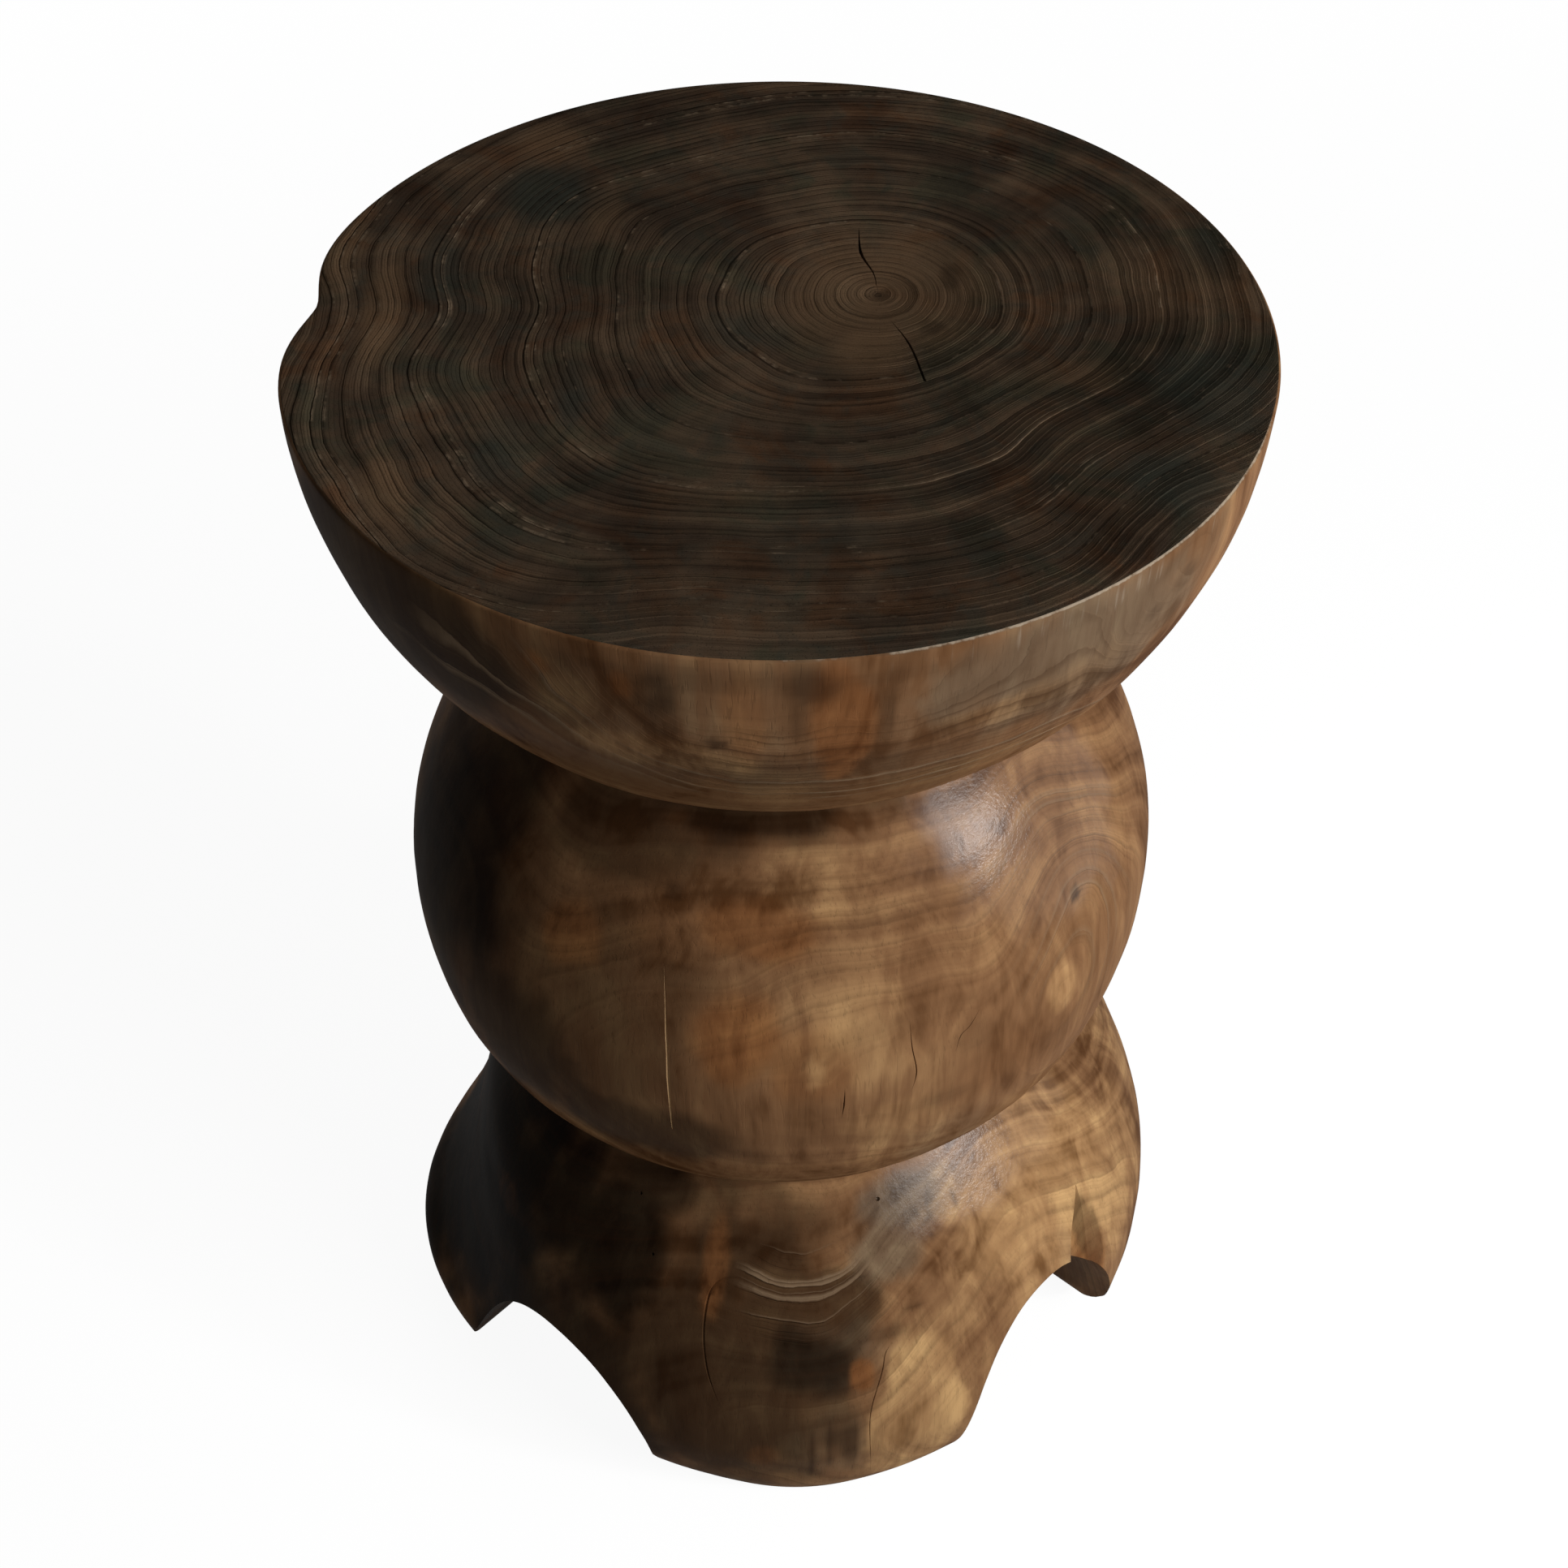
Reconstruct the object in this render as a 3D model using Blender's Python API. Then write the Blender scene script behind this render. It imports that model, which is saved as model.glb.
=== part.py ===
"""A one-piece carved log stool: bowl seat, ball waist and arched base.

The block is built ring by ring from three lobe profiles that meet in two
sharp creases. Two flared tunnels cross under the base and leave four feet.
Each foot carries a nylon glide held by one steel nail.
Axes: +Z up, the stool stands on z = 0, -Y and +X are two arch mouths.
"""
import math

import bpy
from mathutils import Vector

# Overall size.
stool_height = 0.450
seat_radius = 0.152

# Rings and rows of the carved block.
azimuth_steps = 96
base_rows = 15
ball_rows = 14
bowl_rows = 11
rim_rows = 2
rim_round = 0.0012
smooth_angle_deg = 30.0

# Bowl: depth below the seat and how full its side is.
bowl_depth = 0.1278
bowl_depth_lean = 0.0026
bowl_fullness = 2.73
bowl_fullness_lean = -0.24

# Ball: radius, middle height and its two half heights. Its top is sunk in the bowl.
ball_radius = 0.1338
ball_middle = 0.2367
ball_middle_lean = 0.0033
ball_sunk_top = 0.0408
ball_upper_half = stool_height - bowl_depth + ball_sunk_top - ball_middle
ball_lower_half = 0.1161
ball_lower_half_lean = 0.0027
ball_upper_power = 1.88
ball_lower_power = 2.43

# The block is a little higher toward this side, as hand carving left it.
high_side_deg = 132.0

# Base dome: share of the stool height, then share of the stool height as radius.
base_profile_shares = (
    (0.00, 0.299),
    (0.03, 0.312),
    (0.06, 0.318),
    (0.10, 0.324),
    (0.15, 0.321),
    (0.20, 0.307),
    (0.25, 0.285),
    (0.30, 0.247),
    (0.36, 0.190),
    (0.42, 0.120),
)

# One foot splays out at the floor and is flatter above, in the same shares.
splayed_foot_shares = (
    (0.00, 0.041),
    (0.03, 0.036),
    (0.06, 0.009),
    (0.10, -0.018),
    (0.15, -0.033),
    (0.20, -0.031),
    (0.25, -0.023),
    (0.30, -0.016),
    (0.36, -0.011),
    (0.42, -0.009),
)
splayed_foot_deg = -48.0
splayed_foot_power = 3.0
base_shift = 0.0060
base_shift_deg = 78.0

# Near the floor the feet round in toward the arch mouths.
foot_corner_round = 0.0130
foot_corner_height = 0.030

# Natural hollow in the seat's edge, fading down the bowl.
rim_notch_depth = 0.0082
rim_notch_deg = -54.0
rim_notch_spread_deg = 8.0
rim_notch_power = 1.6
rim_notch_fade = 0.090

# Arch tunnels: half widths, height and sideways lean of the crown at each mouth.
# The near half width is the front foot's side of the mouth.
right_mouth_near_half_width = 0.0480
right_mouth_far_half_width = 0.0440
right_mouth_height = 0.0890
right_mouth_lean = -0.0081
front_mouth_near_half_width = 0.0500
front_mouth_far_half_width = 0.0465
front_mouth_height = 0.0720
front_mouth_lean = 0.0108
hidden_mouth_half_width = 0.0475
hidden_mouth_height = 0.0810
hidden_mouth_lean = 0.0
tunnel_half_width = 0.0450
tunnel_height = 0.0600
toe_round_width = 0.0100
far_toe_round_width = 0.0035
toe_round_height = 0.0150
toe_inner_share = 0.15
toe_rows = 4
toe_skip = 2
tunnel_reach = 0.162
mouth_distance = 0.1395
mouth_flare_power = 2.0
arch_power = 2.15
arch_points = 18
tunnel_section_shares = (-1.0, -0.93, -0.86, -0.78, -0.68, -0.54, -0.36, -0.18, 0.0,
                         0.18, 0.36, 0.54, 0.68, 0.78, 0.86, 0.93, 1.0)

# Crevice between two root lobes above the right arch, from the bottom up:
# height, left edge, valley and right edge in degrees, and depth.
crevice_rows = (
    (0.0600, 88.0, 98.0, 99.0, 0.0120),
    (0.0840, 89.6, 98.2, 100.4, 0.0100),
    (0.0980, 90.8, 98.0, 100.8, 0.0075),
    (0.1080, 92.2, 97.6, 99.8, 0.0040),
    (0.1160, 95.0, 96.5, 98.0, 0.0006),
)
crevice_cover = 0.0100

# Drying checks in the seat: plan points as shares of the stool height.
check_back_shares = ((-0.0413, 0.1332), (-0.0177, 0.1090), (0.0119, 0.0899))
check_front_shares = ((0.0553, 0.0557), (0.0830, 0.0395), (0.1135, 0.0195))
check_width_shares = (0.10, 1.00, 0.35)
check_width = 0.0018
check_depth = 0.0050
check_cover = 0.0010
pith_x = 0.0109
pith_y = 0.0351
pith_radius = 0.0016
pith_depth = 0.0020
pith_sides = 8

# Floor glides and their nails.
fit_gap = 0.0003
glide_radius = 0.0110
glide_thickness = 0.0050
glide_edge = 0.0010
foot_clearance = 0.0030
foot_centre_radius = 0.1010
foot_degs = {"front": 45.0, "right": 135.0, "back": 225.0, "left": 315.0}
nail_radius = 0.0012
nail_length = 0.0200
nail_point = 0.0030
nail_head_radius = 0.0034
nail_head_thickness = 0.0010
nail_head_recess = 0.0012
hole_sides = 24

cut_margin = 0.0050


def clear_scene():
    """Remove every object, mesh and material."""
    for item in list(bpy.data.objects):
        bpy.data.objects.remove(item, do_unlink=True)
    for mesh in list(bpy.data.meshes):
        bpy.data.meshes.remove(mesh)
    for material in list(bpy.data.materials):
        bpy.data.materials.remove(material)


def make_material(name, colour, roughness, metallic):
    """Return a plain Principled material."""
    material = bpy.data.materials.new(name)
    material.use_nodes = True
    shader = material.node_tree.nodes["Principled BSDF"]
    shader.inputs["Base Color"].default_value = colour
    shader.inputs["Roughness"].default_value = roughness
    shader.inputs["Metallic"].default_value = metallic
    return material


def make_object(name, vertices, faces, material):
    """Return a linked mesh object with its material."""
    mesh = bpy.data.meshes.new(name)
    mesh.from_pydata([tuple(v) for v in vertices], [], faces)
    mesh.validate()
    mesh.shade_smooth()
    mesh.set_sharp_from_angle(angle=math.radians(smooth_angle_deg))
    mesh.update()
    item = bpy.data.objects.new(name, mesh)
    bpy.context.collection.objects.link(item)
    if material is not None:
        mesh.materials.append(material)
    return item


def direction(azimuth):
    """Return the level unit vector at an azimuth measured from -Y toward +X."""
    return Vector((math.sin(azimuth), -math.cos(azimuth), 0.0))


def table_value(table, position):
    """Read a smooth curve through a table of (position, value) rows."""
    last = len(table) - 1
    if position <= table[0][0]:
        return table[0][1]
    if position >= table[last][0]:
        return table[last][1]
    low = max(i for i in range(last) if table[i][0] <= position)

    def slope(i):
        before, after = max(i - 1, 0), min(i + 1, last)
        return (table[after][1] - table[before][1]) / (table[after][0] - table[before][0])

    width = table[low + 1][0] - table[low][0]
    t = (position - table[low][0]) / width
    start, end = table[low][1], table[low + 1][1]
    return ((2 * t ** 3 - 3 * t ** 2 + 1) * start + (t ** 3 - 2 * t ** 2 + t) * width * slope(low)
            + (3 * t ** 2 - 2 * t ** 3) * end + (t ** 3 - t ** 2) * width * slope(low + 1))


def high_side(azimuth):
    """Return +1 on the block's high side and -1 on the opposite side."""
    return math.cos(azimuth - math.radians(high_side_deg))


def base_radius(height, azimuth):
    """Return the base dome's radius."""
    share = height / stool_height
    near = max(0.0, math.cos(azimuth - math.radians(splayed_foot_deg)))
    radius = table_value(base_profile_shares, share)
    radius += table_value(splayed_foot_shares, share) * near ** splayed_foot_power
    shift = base_shift * math.cos(azimuth - math.radians(base_shift_deg))
    mouth_share = 0.5 + 0.5 * math.cos(4.0 * azimuth)
    fade = max(0.0, 1.0 - height / foot_corner_height) ** 2
    return radius * stool_height + shift - foot_corner_round * mouth_share * fade


def ball_radius_at(height, azimuth):
    """Return the ball's radius."""
    side = high_side(azimuth)
    middle = ball_middle + ball_middle_lean * side
    if height > middle:
        half, power = ball_upper_half, ball_upper_power
    else:
        half, power = ball_lower_half + ball_lower_half_lean * side, ball_lower_power
    reach = min(1.0, abs(height - middle) / half)
    return ball_radius * math.sqrt(1.0 - reach ** power)


def rim_notch(height, azimuth):
    """Return how far the natural hollow dips into the bowl."""
    turn = math.degrees(azimuth) - rim_notch_deg
    turn = abs((turn + 180.0) % 360.0 - 180.0) / rim_notch_spread_deg
    fade = max(0.0, 1.0 - (stool_height - height) / rim_notch_fade)
    return rim_notch_depth * math.exp(-turn ** rim_notch_power) * fade


def bowl_radius_at(height, azimuth):
    """Return the bowl's radius."""
    side = high_side(azimuth)
    depth = bowl_depth + bowl_depth_lean * side
    fullness = bowl_fullness + bowl_fullness_lean * side
    reach = min(1.0, (stool_height - height) / depth)
    radius = seat_radius * (1.0 - reach ** 2) ** (1.0 / fullness)
    return radius - rim_notch(height, azimuth)


def crease_height(lower, upper, azimuth, low, high):
    """Find the height where the upper lobe comes out past the lower one."""
    for _ in range(40):
        middle = 0.5 * (low + high)
        if upper(middle, azimuth) > lower(middle, azimuth):
            high = middle
        else:
            low = middle
    return 0.5 * (low + high)


def column_points(azimuth):
    """Return the block's outline at one azimuth, floor to seat."""
    base_crease = crease_height(base_radius, ball_radius_at, azimuth,
                                ball_middle - ball_lower_half, ball_middle)
    bowl_crease = crease_height(ball_radius_at, bowl_radius_at, azimuth,
                                stool_height - bowl_depth, stool_height)
    points = []
    for i in range(base_rows):
        height = foot_clearance + (base_crease - foot_clearance) * i / base_rows
        points.append((base_radius(height, azimuth), height))
    for i in range(ball_rows):
        height = base_crease + (bowl_crease - base_crease) * i / ball_rows
        points.append((ball_radius_at(height, azimuth), height))
    shoulder = stool_height - rim_round
    for i in range(bowl_rows + 1):
        height = bowl_crease + (shoulder - bowl_crease) * i / bowl_rows
        points.append((bowl_radius_at(height, azimuth), height))
    edge = bowl_radius_at(shoulder, azimuth) - rim_round
    for i in range(1, rim_rows + 1):
        turn = 0.5 * math.pi * i / rim_rows
        points.append((edge + rim_round * math.cos(turn), shoulder + rim_round * math.sin(turn)))
    return points


def build_block(material):
    """Skin the carved block between its outline columns."""
    vertices, faces = [], []
    columns = [column_points(2.0 * math.pi * j / azimuth_steps) for j in range(azimuth_steps)]
    rows = len(columns[0])
    for row in range(rows):
        for j in range(azimuth_steps):
            radius, height = columns[j][row]
            side = direction(2.0 * math.pi * j / azimuth_steps)
            vertices.append(side * radius + Vector((0.0, 0.0, height)))
    for row in range(rows - 1):
        for j in range(azimuth_steps):
            k = (j + 1) % azimuth_steps
            faces.append((row * azimuth_steps + j, row * azimuth_steps + k,
                          (row + 1) * azimuth_steps + k, (row + 1) * azimuth_steps + j))
    faces.append(tuple(reversed(range(azimuth_steps))))
    faces.append(tuple((rows - 1) * azimuth_steps + j for j in range(azimuth_steps)))
    return make_object("carved_body", vertices, faces, material)


def crown_shift(up, height, lean):
    """Return how far the leaning crown moves a tunnel point sideways."""
    return lean * (1.0 - (1.0 - max(0.0, up) / height) ** 2)


def mouth_half_width(flank, grow):
    """Return a tunnel's half width on one flank, part of the way to its mouth."""
    return tunnel_half_width + (flank[0] - tunnel_half_width) * grow


def toe_points(side, flank, height, lean, grow):
    """Return the rounded foot edge on one side of a tunnel, floor upward."""
    share = min(1.0, max(toe_inner_share, grow))
    half_width, toe_width = mouth_half_width(flank, grow), flank[1] * share
    points = [(side * (half_width + toe_width), -cut_margin)]
    for i in range(toe_rows + 1):
        turn = 0.5 * math.pi * i / toe_rows
        across = half_width + toe_width * (1.0 - math.sin(turn))
        up = foot_clearance + toe_round_height * share * (1.0 - math.cos(turn))
        points.append((side * across + crown_shift(up, height, lean), up))
    return points


def tunnel_section(reach, ahead, behind):
    """Return one cross-section of a tunnel as (sideways, height) points."""
    plus_flank, minus_flank, height, lean = ahead if reach >= 0.0 else behind
    grow = (abs(reach) / mouth_distance) ** mouth_flare_power
    height = tunnel_height + (height - tunnel_height) * grow
    lean = lean * grow
    points = toe_points(1.0, plus_flank, height, lean, grow)
    for i in range(toe_skip, arch_points + 1 - toe_skip):
        turn = math.pi * i / arch_points
        half_width = mouth_half_width(plus_flank if 2 * i < arch_points else minus_flank, grow)
        across = math.copysign(abs(math.cos(turn)) ** (2.0 / arch_power), math.cos(turn))
        up = abs(math.sin(turn)) ** (2.0 / arch_power)
        shift = crown_shift(height * up, height, lean)
        points.append((half_width * across + shift, height * up))
    points.extend(reversed(toe_points(-1.0, minus_flank, height, lean, grow)))
    return points


def build_tunnel(name, forward, sideways, ahead, behind):
    """Loft an arch tunnel that flares toward both mouths."""
    vertices, faces = [], []
    count = arch_points + 1 - 2 * toe_skip + 2 * (toe_rows + 2)
    for share in tunnel_section_shares:
        reach = share * tunnel_reach
        for across, up in tunnel_section(reach, ahead, behind):
            vertices.append(forward * reach + sideways * across + Vector((0.0, 0.0, up)))
    for s in range(len(tunnel_section_shares) - 1):
        for i in range(count):
            k = (i + 1) % count
            faces.append((s * count + i, s * count + k, (s + 1) * count + k, (s + 1) * count + i))
    last = (len(tunnel_section_shares) - 1) * count
    faces.append(tuple(reversed(range(count))))
    faces.append(tuple(last + i for i in range(count)))
    return make_object(name, vertices, faces, None)


def build_crevice():
    """Make the wedge that opens the crevice above the right arch."""
    vertices, faces = [], []
    for height, left, valley, right, depth in crevice_rows:
        for degrees, out in ((left, crevice_cover), (right, crevice_cover), (valley, -depth)):
            azimuth = math.radians(degrees)
            corner = direction(azimuth) * (base_radius(height, azimuth) + out)
            corner.z = height
            vertices.append(corner)
    for row in range(len(crevice_rows) - 1):
        for j in range(3):
            low, high = 3 * row + j, 3 * row + (j + 1) % 3
            faces.append((low, high, high + 3, low + 3))
    last = 3 * (len(crevice_rows) - 1)
    faces.extend([(2, 1, 0), (last, last + 1, last + 2)])
    return make_object("cut_crevice", vertices, faces, None)


def build_check(name, shares):
    """Make the thin wedge that opens one drying check in the seat."""
    path = [Vector((x * stool_height, y * stool_height, 0.0)) for x, y in shares]
    steps = 3
    line, widths = [], []
    for i in range(len(path) - 1):
        for s in range(steps):
            t = s / steps
            line.append(path[i].lerp(path[i + 1], t))
            widths.append(check_width_shares[i] * (1.0 - t) + check_width_shares[i + 1] * t)
    line.append(path[-1])
    widths.append(check_width_shares[0])
    vertices, faces = [], []
    for i, point in enumerate(line):
        ahead = line[min(i + 1, len(line) - 1)] - line[max(i - 1, 0)]
        across = Vector((-ahead.y, ahead.x, 0.0)).normalized() * check_width * widths[i] * 0.5
        top = Vector((0.0, 0.0, stool_height + check_cover))
        vertices.append(point + across * (1.0 + check_cover / check_depth) + top)
        vertices.append(point - across * (1.0 + check_cover / check_depth) + top)
        vertices.append(point + Vector((0.0, 0.0, stool_height - check_depth * widths[i] ** 0.5)))
    for i in range(len(line) - 1):
        a, b = 3 * i, 3 * (i + 1)
        faces.extend([(a, a + 1, b + 1, b), (a + 1, a + 2, b + 2, b + 1), (a + 2, a, b, b + 2)])
    last = 3 * (len(line) - 1)
    faces.extend([(2, 1, 0), (last, last + 1, last + 2)])
    return make_object(name, vertices, faces, None)


def turned(name, outline, sides, material):
    """Spin an outline of (radius, height) points into a closed body."""
    vertices, faces = [], []
    rings = []
    for radius, height in outline:
        if radius == 0.0:
            rings.append([len(vertices)])
            vertices.append(Vector((0.0, 0.0, height)))
            continue
        rings.append(list(range(len(vertices), len(vertices) + sides)))
        for j in range(sides):
            turn = 2.0 * math.pi * j / sides
            vertices.append(Vector((radius * math.cos(turn), radius * math.sin(turn), height)))
    closed = rings[0] if outline[0][0] != 0.0 and outline[-1][0] != 0.0 else None
    pairs = list(zip(rings, rings[1:] + ([closed] if closed else [])))
    for low, high in pairs:
        if high is None:
            continue
        for j in range(sides):
            k = (j + 1) % sides
            if len(low) == 1:
                faces.append((low[0], high[k], high[j]))
            elif len(high) == 1:
                faces.append((low[j], low[k], high[0]))
            else:
                faces.append((low[j], low[k], high[k], high[j]))
    return make_object(name, vertices, faces, material)


def build_pith_pit():
    """Make the cone that opens the pith in the seat."""
    outline = [(0.0, -pith_depth), (pith_radius, 0.0),
               (pith_radius, check_cover), (0.0, check_cover)]
    pit = turned("cut_pith", outline, pith_sides, None)
    pit.location = (pith_x, pith_y, stool_height)
    return pit


def foot_position(degrees, height):
    """Return the point above a foot's centre."""
    return direction(math.radians(degrees)) * foot_centre_radius + Vector((0.0, 0.0, height))


def build_glide_seat(name, degrees):
    """Make the counterbore and pilot hole under one foot."""
    recess = glide_thickness - foot_clearance + fit_gap
    pilot = nail_head_recess + nail_length - foot_clearance + fit_gap
    outline = [(0.0, -cut_margin), (glide_radius + fit_gap, -cut_margin),
               (glide_radius + fit_gap, recess), (nail_radius + fit_gap, recess),
               (nail_radius + fit_gap, pilot), (0.0, pilot)]
    seat = turned(name, outline, hole_sides, None)
    seat.location = foot_position(degrees, foot_clearance)
    return seat


def build_glide(name, degrees, material):
    """Make one nylon glide with a recess for the nail's head."""
    head_hole = nail_head_radius + fit_gap
    shank_hole = nail_radius + fit_gap
    head_top = nail_head_recess + nail_head_thickness + fit_gap
    outline = [(head_hole, 0.0), (glide_radius - glide_edge, 0.0), (glide_radius, glide_edge),
               (glide_radius, glide_thickness), (shank_hole, glide_thickness),
               (shank_hole, head_top), (head_hole, head_top)]
    glide = turned(name, outline, hole_sides, material)
    glide.location = foot_position(degrees, 0.0)
    return glide


def build_nail(name, degrees, material):
    """Make one flat-headed nail with its point up in the wood."""
    outline = [(0.0, 0.0), (nail_head_radius, 0.0), (nail_head_radius, nail_head_thickness),
               (nail_radius, nail_head_thickness), (nail_radius, nail_length - nail_point),
               (0.0, nail_length)]
    nail = turned(name, outline, hole_sides, material)
    nail.location = foot_position(degrees, nail_head_recess)
    return nail


def cut(target, cutter):
    """Cut a shape out of the block and hide the cutter."""
    step = target.modifiers.new(cutter.name, "BOOLEAN")
    step.operation = "DIFFERENCE"
    step.solver = "EXACT"
    step.object = cutter
    cutter.hide_render = True
    cutter.display_type = "WIRE"


def main():
    """Build the stool."""
    clear_scene()
    wood = make_material("carved_wood", (0.19, 0.10, 0.05, 1.0), 0.45, 0.0)
    body = build_block(wood)
    near = (right_mouth_near_half_width, toe_round_width)
    far = (right_mouth_far_half_width, far_toe_round_width)
    right = (far, near, right_mouth_height, right_mouth_lean)
    near = (front_mouth_near_half_width, toe_round_width)
    far = (front_mouth_far_half_width, far_toe_round_width)
    front = (near, far, front_mouth_height, front_mouth_lean)
    flank = (hidden_mouth_half_width, toe_round_width)
    hidden = (flank, flank, hidden_mouth_height, hidden_mouth_lean)
    x_axis, y_axis = Vector((1.0, 0.0, 0.0)), Vector((0.0, 1.0, 0.0))
    cut(body, build_tunnel("cut_tunnel_x", x_axis, y_axis, right, hidden))
    cut(body, build_tunnel("cut_tunnel_y", -y_axis, x_axis, front, hidden))
    cut(body, build_crevice())
    cut(body, build_check("cut_check_back", check_back_shares))
    cut(body, build_check("cut_check_front", check_front_shares))
    cut(body, build_pith_pit())
    for place, degrees in foot_degs.items():
        cut(body, build_glide_seat("cut_glide_" + place, degrees))
        nylon = make_material("nylon_" + place, (0.10, 0.09, 0.08, 1.0), 0.55, 0.0)
        steel = make_material("steel_" + place, (0.55, 0.55, 0.56, 1.0), 0.35, 1.0)
        build_glide("glide_" + place, degrees, nylon)
        build_nail("glide_nail_" + place, degrees, steel)


main()
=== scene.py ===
"""Looks of a one-piece carved log stool: bowl seat, ball waist and arched base.

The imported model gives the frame. The carved block is made again here at a finer
grain, dressed as oiled and burnt teak, and stood on a pale studio floor.
Axes: +Z up, -Y and +X are two arch mouths, and azimuths run from -Y toward +X.
"""
import logging
import math
from collections.abc import Callable, Sequence
from dataclasses import dataclass, field
from enum import Enum
from typing import NamedTuple

import bpy
import numpy as np
from mathutils import Matrix, Vector, noise


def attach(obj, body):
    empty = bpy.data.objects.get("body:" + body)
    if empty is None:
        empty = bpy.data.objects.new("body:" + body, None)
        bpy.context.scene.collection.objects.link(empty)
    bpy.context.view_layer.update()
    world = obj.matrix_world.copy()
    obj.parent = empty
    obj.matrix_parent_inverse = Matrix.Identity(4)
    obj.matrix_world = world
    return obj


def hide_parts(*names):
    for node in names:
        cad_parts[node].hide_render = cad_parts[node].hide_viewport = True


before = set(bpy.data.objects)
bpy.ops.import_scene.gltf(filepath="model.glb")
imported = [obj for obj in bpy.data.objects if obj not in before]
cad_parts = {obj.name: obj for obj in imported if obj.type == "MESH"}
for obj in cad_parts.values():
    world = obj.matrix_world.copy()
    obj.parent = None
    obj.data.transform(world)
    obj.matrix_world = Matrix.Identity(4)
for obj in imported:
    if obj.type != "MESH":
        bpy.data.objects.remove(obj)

log = logging.getLogger("stool")

Array = np.ndarray
Piece, Finish = bpy.types.Object, bpy.types.Material
Tree, Socket = bpy.types.NodeTree, bpy.types.NodeSocket
Wire = Socket | float | tuple
Row = tuple[float, ...]


class Tint(Enum):
    """Colours on the wood, each kept as one mask on the mesh; some masks also carry painted shade, sheen and
    highlights.
    """

    SMOKE = "tint_smoke"
    DARK = "tint_dark"
    FLAME = "tint_flame"
    GOLD = "tint_gold"
    INK_AND_SHADE = "tint_ink"
    RIM_GLINT_AND_SCUFF = "tint_scuff"
    RIBBED = "tint_ribbed"
    POLISH = "tint_polish"


class Face(Enum):
    """Finishes on the block, as the order of its material slots."""

    WAXED = 0
    BURNT = 1
    SCAR = 2


# ---------------------------------------------------------------- mesh tools


def pick(piece: Piece) -> None:
    """Select one piece alone and make it the active one."""
    bpy.ops.object.select_all(action="DESELECT")
    piece.select_set(True)
    bpy.context.view_layer.objects.active = piece


def edit_mesh(piece: Piece, work: Callable[[], None]) -> None:
    """Run edit-mode operators on one piece with all of it selected.

    Args:
        piece: The mesh object.
        work: Calls the operators.
    """
    pick(piece)
    bpy.ops.object.mode_set(mode="EDIT")
    bpy.ops.mesh.select_mode(type="VERT")
    bpy.ops.mesh.select_all(action="SELECT")
    work()
    bpy.ops.object.mode_set(mode="OBJECT")


def mesh_points(piece: Piece) -> Array:
    """Return the piece's vertices as an array of rows."""
    points = np.zeros(len(piece.data.vertices) * 3)
    piece.data.vertices.foreach_get("co", points)
    return points.reshape(-1, 3)


def place_points(piece: Piece, points: Array) -> None:
    """Move the piece's vertices to the rows of an array."""
    piece.data.vertices.foreach_set("co", points.astype(np.float32).ravel())
    piece.data.update()


def wrapped_grid(name: str, rows: Array) -> Piece:
    """Wrap a flat grid round a stack of closed sections and close both ends.

    Args:
        name: The piece's name.
        rows: Points as (section, round the section, xyz), without a repeated last point.

    Returns:
        The closed piece, with its normals outwards.
    """
    sections, around = rows.shape[0], rows.shape[1]
    bpy.ops.object.select_all(action="DESELECT")
    bpy.ops.mesh.primitive_grid_add(x_subdivisions=around, y_subdivisions=sections - 1, size=2.0)
    piece = bpy.context.active_object
    piece.name = piece.data.name = name
    flat = mesh_points(piece)
    column = np.rint((flat[:, 0] + 1.0) / 2.0 * around).astype(int) % around
    section = np.rint((flat[:, 1] + 1.0) / 2.0 * (sections - 1)).astype(int)
    place_points(piece, rows[section, column])

    def close() -> None:
        """Merge the seam and the poles, fill the ends and turn the faces outwards."""
        bpy.ops.mesh.remove_doubles(threshold=1e-6)
        bpy.ops.mesh.select_all(action="DESELECT")
        bpy.ops.mesh.select_non_manifold()
        bpy.ops.mesh.fill_holes(sides=0)
        bpy.ops.mesh.select_all(action="SELECT")
        bpy.ops.mesh.normals_make_consistent(inside=False)

    edit_mesh(piece, close)
    return piece


def set_face(piece: Piece, face: Face) -> None:
    """Give the piece the block's row of empty slots and put all its faces in one of them."""
    while len(piece.data.materials) < len(Face):
        piece.data.materials.append(None)
    piece.data.polygons.foreach_set("material_index", [face.value] * len(piece.data.polygons))


def soft_step(low: float, high: float, value: Array) -> Array:
    """Return 0 below low, 1 above high and a smooth rise between them."""
    share = np.clip((value - low) / (high - low), 0.0, 1.0)
    return share * share * (3.0 - 2.0 * share)


def wander(points: Array, pitch: float, seed: float) -> Array:
    """Return slow noise at each point.

    Args:
        points: Rows of xyz in metres.
        pitch: Distance between swells, in metres.
        seed: Moves the pattern.

    Returns:
        One value from about -1 to 1 for each point.
    """
    shifted = points / pitch + seed
    return np.array([noise.noise(Vector(p)) for p in shifted.tolist()])


def swells(points: Array, layers: Sequence[Row]) -> Array:
    """Return slow noise in several layers.

    Args:
        points: Rows of xyz in metres.
        layers: Rows of (strength, pitch, squash along the log, seed).

    Returns:
        The layers' sum at each point.
    """
    return sum(strength * wander(points * np.array([1.0, 1.0, squash]), pitch, seed)
               for strength, pitch, squash, seed in layers)


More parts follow.
